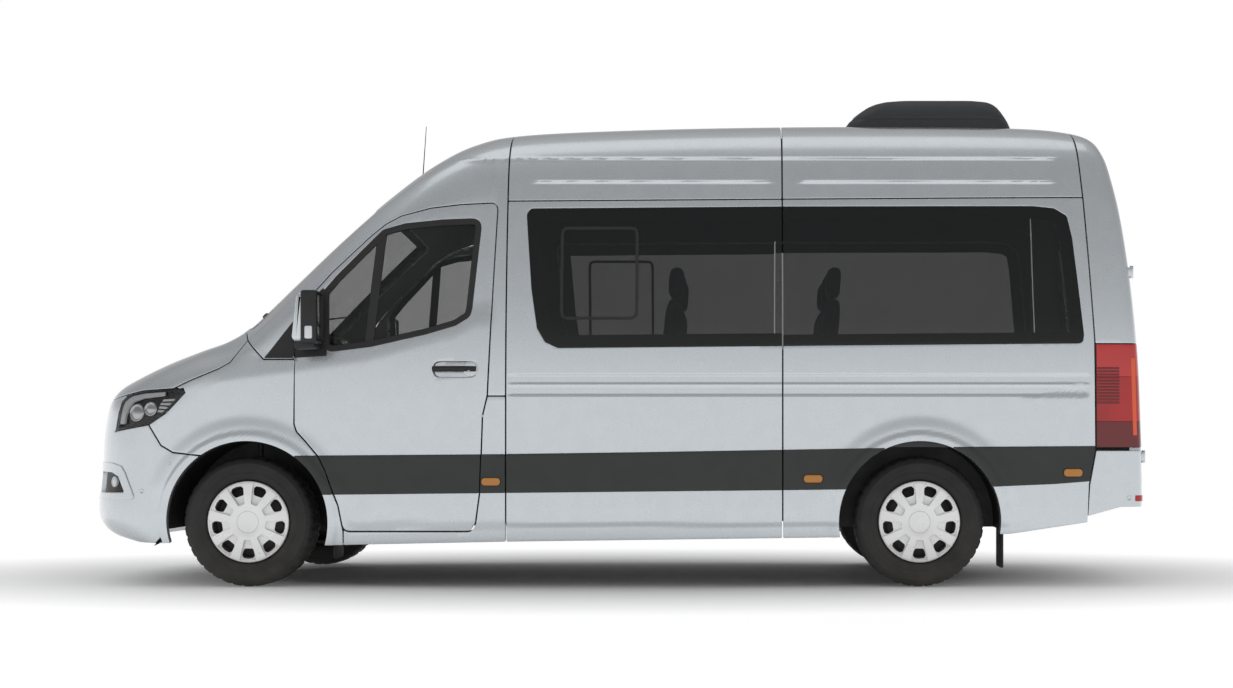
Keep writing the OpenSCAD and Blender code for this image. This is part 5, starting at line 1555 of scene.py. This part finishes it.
# %% Aerial
aerial_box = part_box("antenna")
foot = Vector(((aerial_box[0][0] + 0.0) / MM + 18, -300, aerial_box[0][2] / MM))
bm = bmesh.new()
bar_along(bm, smooth_path([foot, foot + Vector((2, 0, 26)), foot + Vector((4, 0, 52))], 4),
          [17, 16, 15, 14, 12, 10, 8, 7, 6],
          24)
bar_along(bm, [foot + Vector((4, 0, 48)), foot + Vector((24, 0, aerial_box[1][2] / MM - foot.z - 3))],
          [3.2, 1.8], 12)
finish_piece("aerial", bm, "body", [BLACK], "dark_plastic", replaces=["antenna"])

# %% Wipers and cowl
for name, pivot, tip in (("left", (-520, 1500), (190, 1560)), ("right", (260, 1498), (800, 1575))):
    bm = bmesh.new()
    arm, blade = [], []
    for t in spread(0, 1, 14):
        y = pivot[0] + (tip[0] - pivot[0]) * t
        z = pivot[1] + (tip[1] - pivot[1]) * t
        place, normal = on_front(y, z)
        arm.append(place + normal * (20 - 6 * t))
        place, normal = on_front(y + (tip[0] - pivot[0]) * 0.12, z + 22)
        blade.append(place + normal * 7)
    bar_along(bm, arm[:11], [7 - 0.3 * k for k in range(11)], 10)
    bar_along(bm, blade, 5, 8)
    place, normal = on_front(*pivot)
    button(bm, place, normal, [(20, -6), (20, 18), (16, 24), (0.01, 25)])
    finish_piece(f"wiper_{name}", bm, "body", [BLACK], "dark_plastic")

# %% [markdown]
# ## Inside
# Nine seats, the dashboard and the wheel show through the glass. A real seat is foam under a sewn cover, so each pad
# is a crowned form whose sides pull in between its corners, with sewn channels pressed into its face.

# %% A foam pad with a sewn cover
def pad(name, size, place, lean, crown, channels, body="body"):
    """A pad of size (deep, wide, thick) whose face looks along its own Z, leaned back about Y, in millimetres."""
    bm = bmesh.new()
    bmesh.ops.create_cube(bm, size=2)
    bmesh.ops.subdivide_edges(bm, edges=bm.edges, cuts=9, use_grid_fill=True)
    deep, wide, thick = size
    corner = min(size) * 0.42
    inner = Vector((deep, wide, thick)) / 2 - Vector((corner, corner, corner))
    for v in bm.verts:
        u, w, h = v.co
        point = Vector((u * deep, w * wide, h * thick)) / 2
        core = Vector([max(-limit, min(limit, value)) for value, limit in zip(point, inner)])
        away = point - core
        if away.length > 0:
            point = core + away.normalized() * min(away.length, corner)
        if h > 0:
            point.z += crown * (1 - u * u) * (1 - w * w) * h - crown
            for line in channels:
                point.z -= 5 * math.exp(-((w - line) / 0.045) ** 2) * h
        point.x *= 1 - 0.035 * (1 - w * w)
        point.y *= 1 - 0.025 * (1 - u * u)
        v.co = point * MM
    turn = Matrix.Translation(Vector(place) * MM) @ Matrix.Rotation(math.radians(lean), 4, "Y")
    bmesh.ops.transform(bm, matrix=turn, verts=bm.verts)
    bmesh.ops.recalc_face_normals(bm, faces=bm.faces)
    obj = piece(name, bm, body, [CLOTH], "seat_cloth", 75)
    soft = obj.modifiers.new("soften", "SUBSURF")
    soft.levels = soft.render_levels = 1
    return obj


def one_seat(name, x, y, base, width, drop):
    """A seat at its hip corner: pad, back, head restraint and the pedestal under it."""
    pad(f"{name}_pad", (440, width - 20, 104), (x + 202, y, base + 66), -1, 10, (-0.55, 0.55))
    pad(f"{name}_back", (540, width - 24, 96), (x + 508, y, base + 352), -84.5, 9, (-0.5, 0.5))
    pad(f"{name}_head", (176, 226, 84), (x + 540, y, base + 716), -86, 7, ())
    bm = bmesh.new()
    block(bm, (x + 44, y - width / 2 + 44, base - drop), (x + 436, y + width / 2 - 44, base + 8), 14, 3)
    for side in (-45, 45):
        bar_along(bm, [(x + 533, y + side, base + 590), (x + 537, y + side, base + 650)], 6, 10)
    finish_piece(f"{name}_base", bm, "body", [BLACK], "dark_plastic")


for k, (y, width) in enumerate(((-400, 520), (190, 450), (640, 450))):
    one_seat(f"cab_seat_{k}", -1180, y, 950, width, 308)
for row, x in enumerate((-175, 707)):
    for k in range(3):
        one_seat(f"seat_{row}_{k}", x, -150 + 476 * (k - 1), 970, 470, 327)
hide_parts("cab_seats")
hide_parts("passenger_seats")

# %% [markdown]
# ### Dashboard
# One moulding across the cab with a hood, a screen and round vents. It is plain, because it is seen only
# through dark glass.

# %% Dashboard
dash_outline = [(-1860, 1240), (-1840, 1310), (-1740, 1345), (-1650, 1335), (-1600, 1200), (-1650, 1000),
                (-1760, 960),
                (-1820, 1080)]
bm = bmesh.new()
slab(bm, dash_outline, -870, 870, "Y", 18, 4)
block(bm, (-1700, -560, 1325), (-1560, -240, 1392), 26, 4)
block(bm, (-1655, -110, 1190), (-1592, 170, 1340), 12, 3)
block(bm, (-1700, -120, 700), (-1560, 180, 1010), 24, 4)
finish_piece("dash_moulding", bm, "body", [DASH], "dark_plastic", replaces=["dashboard"])
bm = bmesh.new()
block(bm, (-1594, -96, 1222), (-1588.5, 156, 1326), 4, 2)
block(bm, (-1562, -530, 1336), (-1557, -270, 1380), 4, 2)
finish_piece("dash_screens", bm, "body", [GLOSS], "gloss_black")
bm = bmesh.new()
for y in (-820, -200, 250, 820):
    lathe(bm, [(0.01, -6), (36, -6), (40, 0), (38, 7), (31, 8), (29, 2), (0.01, 2)], (-1604, y, 1262), "X", 32)
finish_piece("dash_vents", bm, "body", [BLACK], "dark_plastic")

# %% Steering wheel
bm = bmesh.new()
ring = [(185 + 15 * math.cos(2 * math.pi * k / 20), 15 * math.sin(2 * math.pi * k / 20)) for k in range(20)]
lathe(bm, ring, (0, 0, 0), "Z", 72, closed=True)
lathe(bm, [(0.01, -30), (50, -30), (62, -20), (62, -4), (56, 4), (30, 8), (0.01, 9)], (0, 0, 0), "Z", 40)
for degrees in (-90, 20, 160):
    spoke = bmesh.new()
    block(spoke, (40, -17, -12), (178, 17, 2), 5, 3)
    bmesh.ops.rotate(spoke, verts=spoke.verts, cent=(0, 0, 0),
                     matrix=Matrix.Rotation(math.radians(degrees), 3, "Z"))
    holder = bpy.data.meshes.new("spoke")
    spoke.to_mesh(holder)
    spoke.free()
    bm.from_mesh(holder)
    bpy.data.meshes.remove(holder)
lathe(bm, [(0.01, -150), (26, -150), (26, -28), (0.01, -28)], (0, 0, 0), "Z", 24)
turn = Matrix.Translation(Vector((-1500, -400, 1300)) * MM) @ Matrix.Rotation(math.radians(32), 4, "Y")
bmesh.ops.transform(bm, matrix=turn, verts=bm.verts)
finish_piece("steering_wheel_rim", bm, "body", [DASH], "dark_plastic", replaces=["steering_wheel"])

# %% [markdown]
# ### Underside
# The axles, tank, pipe and floor keep their designed shape and only need a finish.

# %% Finishes of the parts that stay as designed
UNDERSIDE = {"engine": CHASSIS, "fuel_tank": BLACK, "exhaust": STEEL, "floor_pan": CHASSIS,
             "wheel_housings": BLACK,
             "front_axle": CHASSIS, "rear_axle": CHASSIS, "knuckle_left": CHASSIS, "knuckle_right": CHASSIS}
for node, mat in UNDERSIDE.items():
    mesh = frame["nodes"][node].data
    mesh.materials.clear()
    mesh.materials.append(mat)
print("nodes shown as designed:", sorted(n for n, o in frame["nodes"].items() if not o.hide_render))


# %% Remove the working shapes
for obj in SKINS + CUTTERS:
    bpy.data.objects.remove(obj)

# %% [markdown]
# ## Studio
# A pale floor that runs to a pale surround and a large soft lamp overhead give silver paint the long gradients that
# show its form. The floor glows more the further it lies from the car, so the dark oval under the car is a painted
# shadow.

# %% Floor, world and lamps
bm = bmesh.new()
bmesh.ops.create_grid(bm, x_segments=2, y_segments=2, size=40)
floor_mesh = bpy.data.meshes.new("floor")
bm.to_mesh(floor_mesh)
bm.free()
floor = bpy.data.objects.new("floor", floor_mesh)
scene.collection.objects.link(floor)
floor_finish = material("studio_floor", (0.86, 0.86, 0.86), 0.75, 0.0, vary=0.01)
floor_mesh.materials.append(floor_finish)
tree = floor_finish.node_tree
# The floor glows: not at all in an oval round the car, more and more beyond it. The dark oval under the car is a
# painted shadow, and the glow round it is painted light.
place = tree.nodes.new("ShaderNodeTexCoord")
reach = tree.nodes.new("ShaderNodeVectorMath")
reach.operation = "LENGTH"
squash = tree.nodes.new("ShaderNodeVectorMath")
squash.operation = "MULTIPLY"
squash.inputs[1].default_value = (1 / 3.4, 1 / 1.7, 1)
tree.links.new(place.outputs["Object"], squash.inputs[0])
tree.links.new(squash.outputs[0], reach.inputs[0])
painted_shadow_glow = tree.nodes.new("ShaderNodeMapRange")
painted_shadow_glow.inputs["From Min"].default_value = 0.6
painted_shadow_glow.inputs["From Max"].default_value = 1.5
painted_shadow_glow.inputs["To Min"].default_value = 0.0
painted_shadow_glow.inputs["To Max"].default_value = 0.6
tree.links.new(reach.outputs["Value"], painted_shadow_glow.inputs["Value"])
shader = next(n for n in tree.nodes if n.type == "BSDF_PRINCIPLED")
shader.inputs["Emission Color"].default_value = (1, 1, 1, 1)
tree.links.new(painted_shadow_glow.outputs["Result"], shader.inputs["Emission Strength"])

world = bpy.data.worlds.new("studio")
world.use_nodes = True
sky = world.node_tree
sky_place = sky.nodes.new("ShaderNodeTexCoord")
sky_split = sky.nodes.new("ShaderNodeSeparateXYZ")
sky.links.new(sky_place.outputs["Generated"], sky_split.inputs[0])
ramp = sky.nodes.new("ShaderNodeValToRGB")
sky.links.new(sky_split.outputs["Z"], ramp.inputs["Fac"])
SKY = ((0.0, 1.0), (0.10, 0.95), (0.22, 0.50), (0.55, 0.34), (0.9, 0.5))
while len(ramp.color_ramp.elements) < len(SKY):
    ramp.color_ramp.elements.new(0.5)
for element, (place, value) in zip(ramp.color_ramp.elements, SKY):
    element.position = place
    element.color = (value, value, value, 1)
seen = sky.nodes.new("ShaderNodeLightPath")
blend = sky.nodes.new("ShaderNodeMixRGB")
blend.inputs["Color2"].default_value = (1, 1, 1, 1)
sky.links.new(seen.outputs["Is Camera Ray"], blend.inputs["Fac"])
sky.links.new(ramp.outputs["Color"], blend.inputs["Color1"])
sky.links.new(blend.outputs["Color"], sky.nodes["Background"].inputs["Color"])
sky.nodes["Background"].inputs["Strength"].default_value = 1.0
scene.world = world


def lamp(name, place, aim, size, power):
    """A soft rectangular lamp."""
    data = bpy.data.lights.new(name, "AREA")
    data.shape = "RECTANGLE"
    data.size, data.size_y = size
    data.energy = power
    obj = bpy.data.objects.new(name, data)
    obj.location = place
    obj.rotation_euler = (Vector(aim) - Vector(place)).to_track_quat("-Z", "Y").to_euler()
    scene.collection.objects.link(obj)


lamp("overhead", (0, -1, 7), (0, 0, 0), (8, 3), 40)
scene.view_settings.view_transform = "Standard"

triangles = sum(sum(len(p.vertices) - 2 for p in o.data.polygons) for o in scene.objects if o.type == "MESH")
print("triangles in the scene:", triangles)
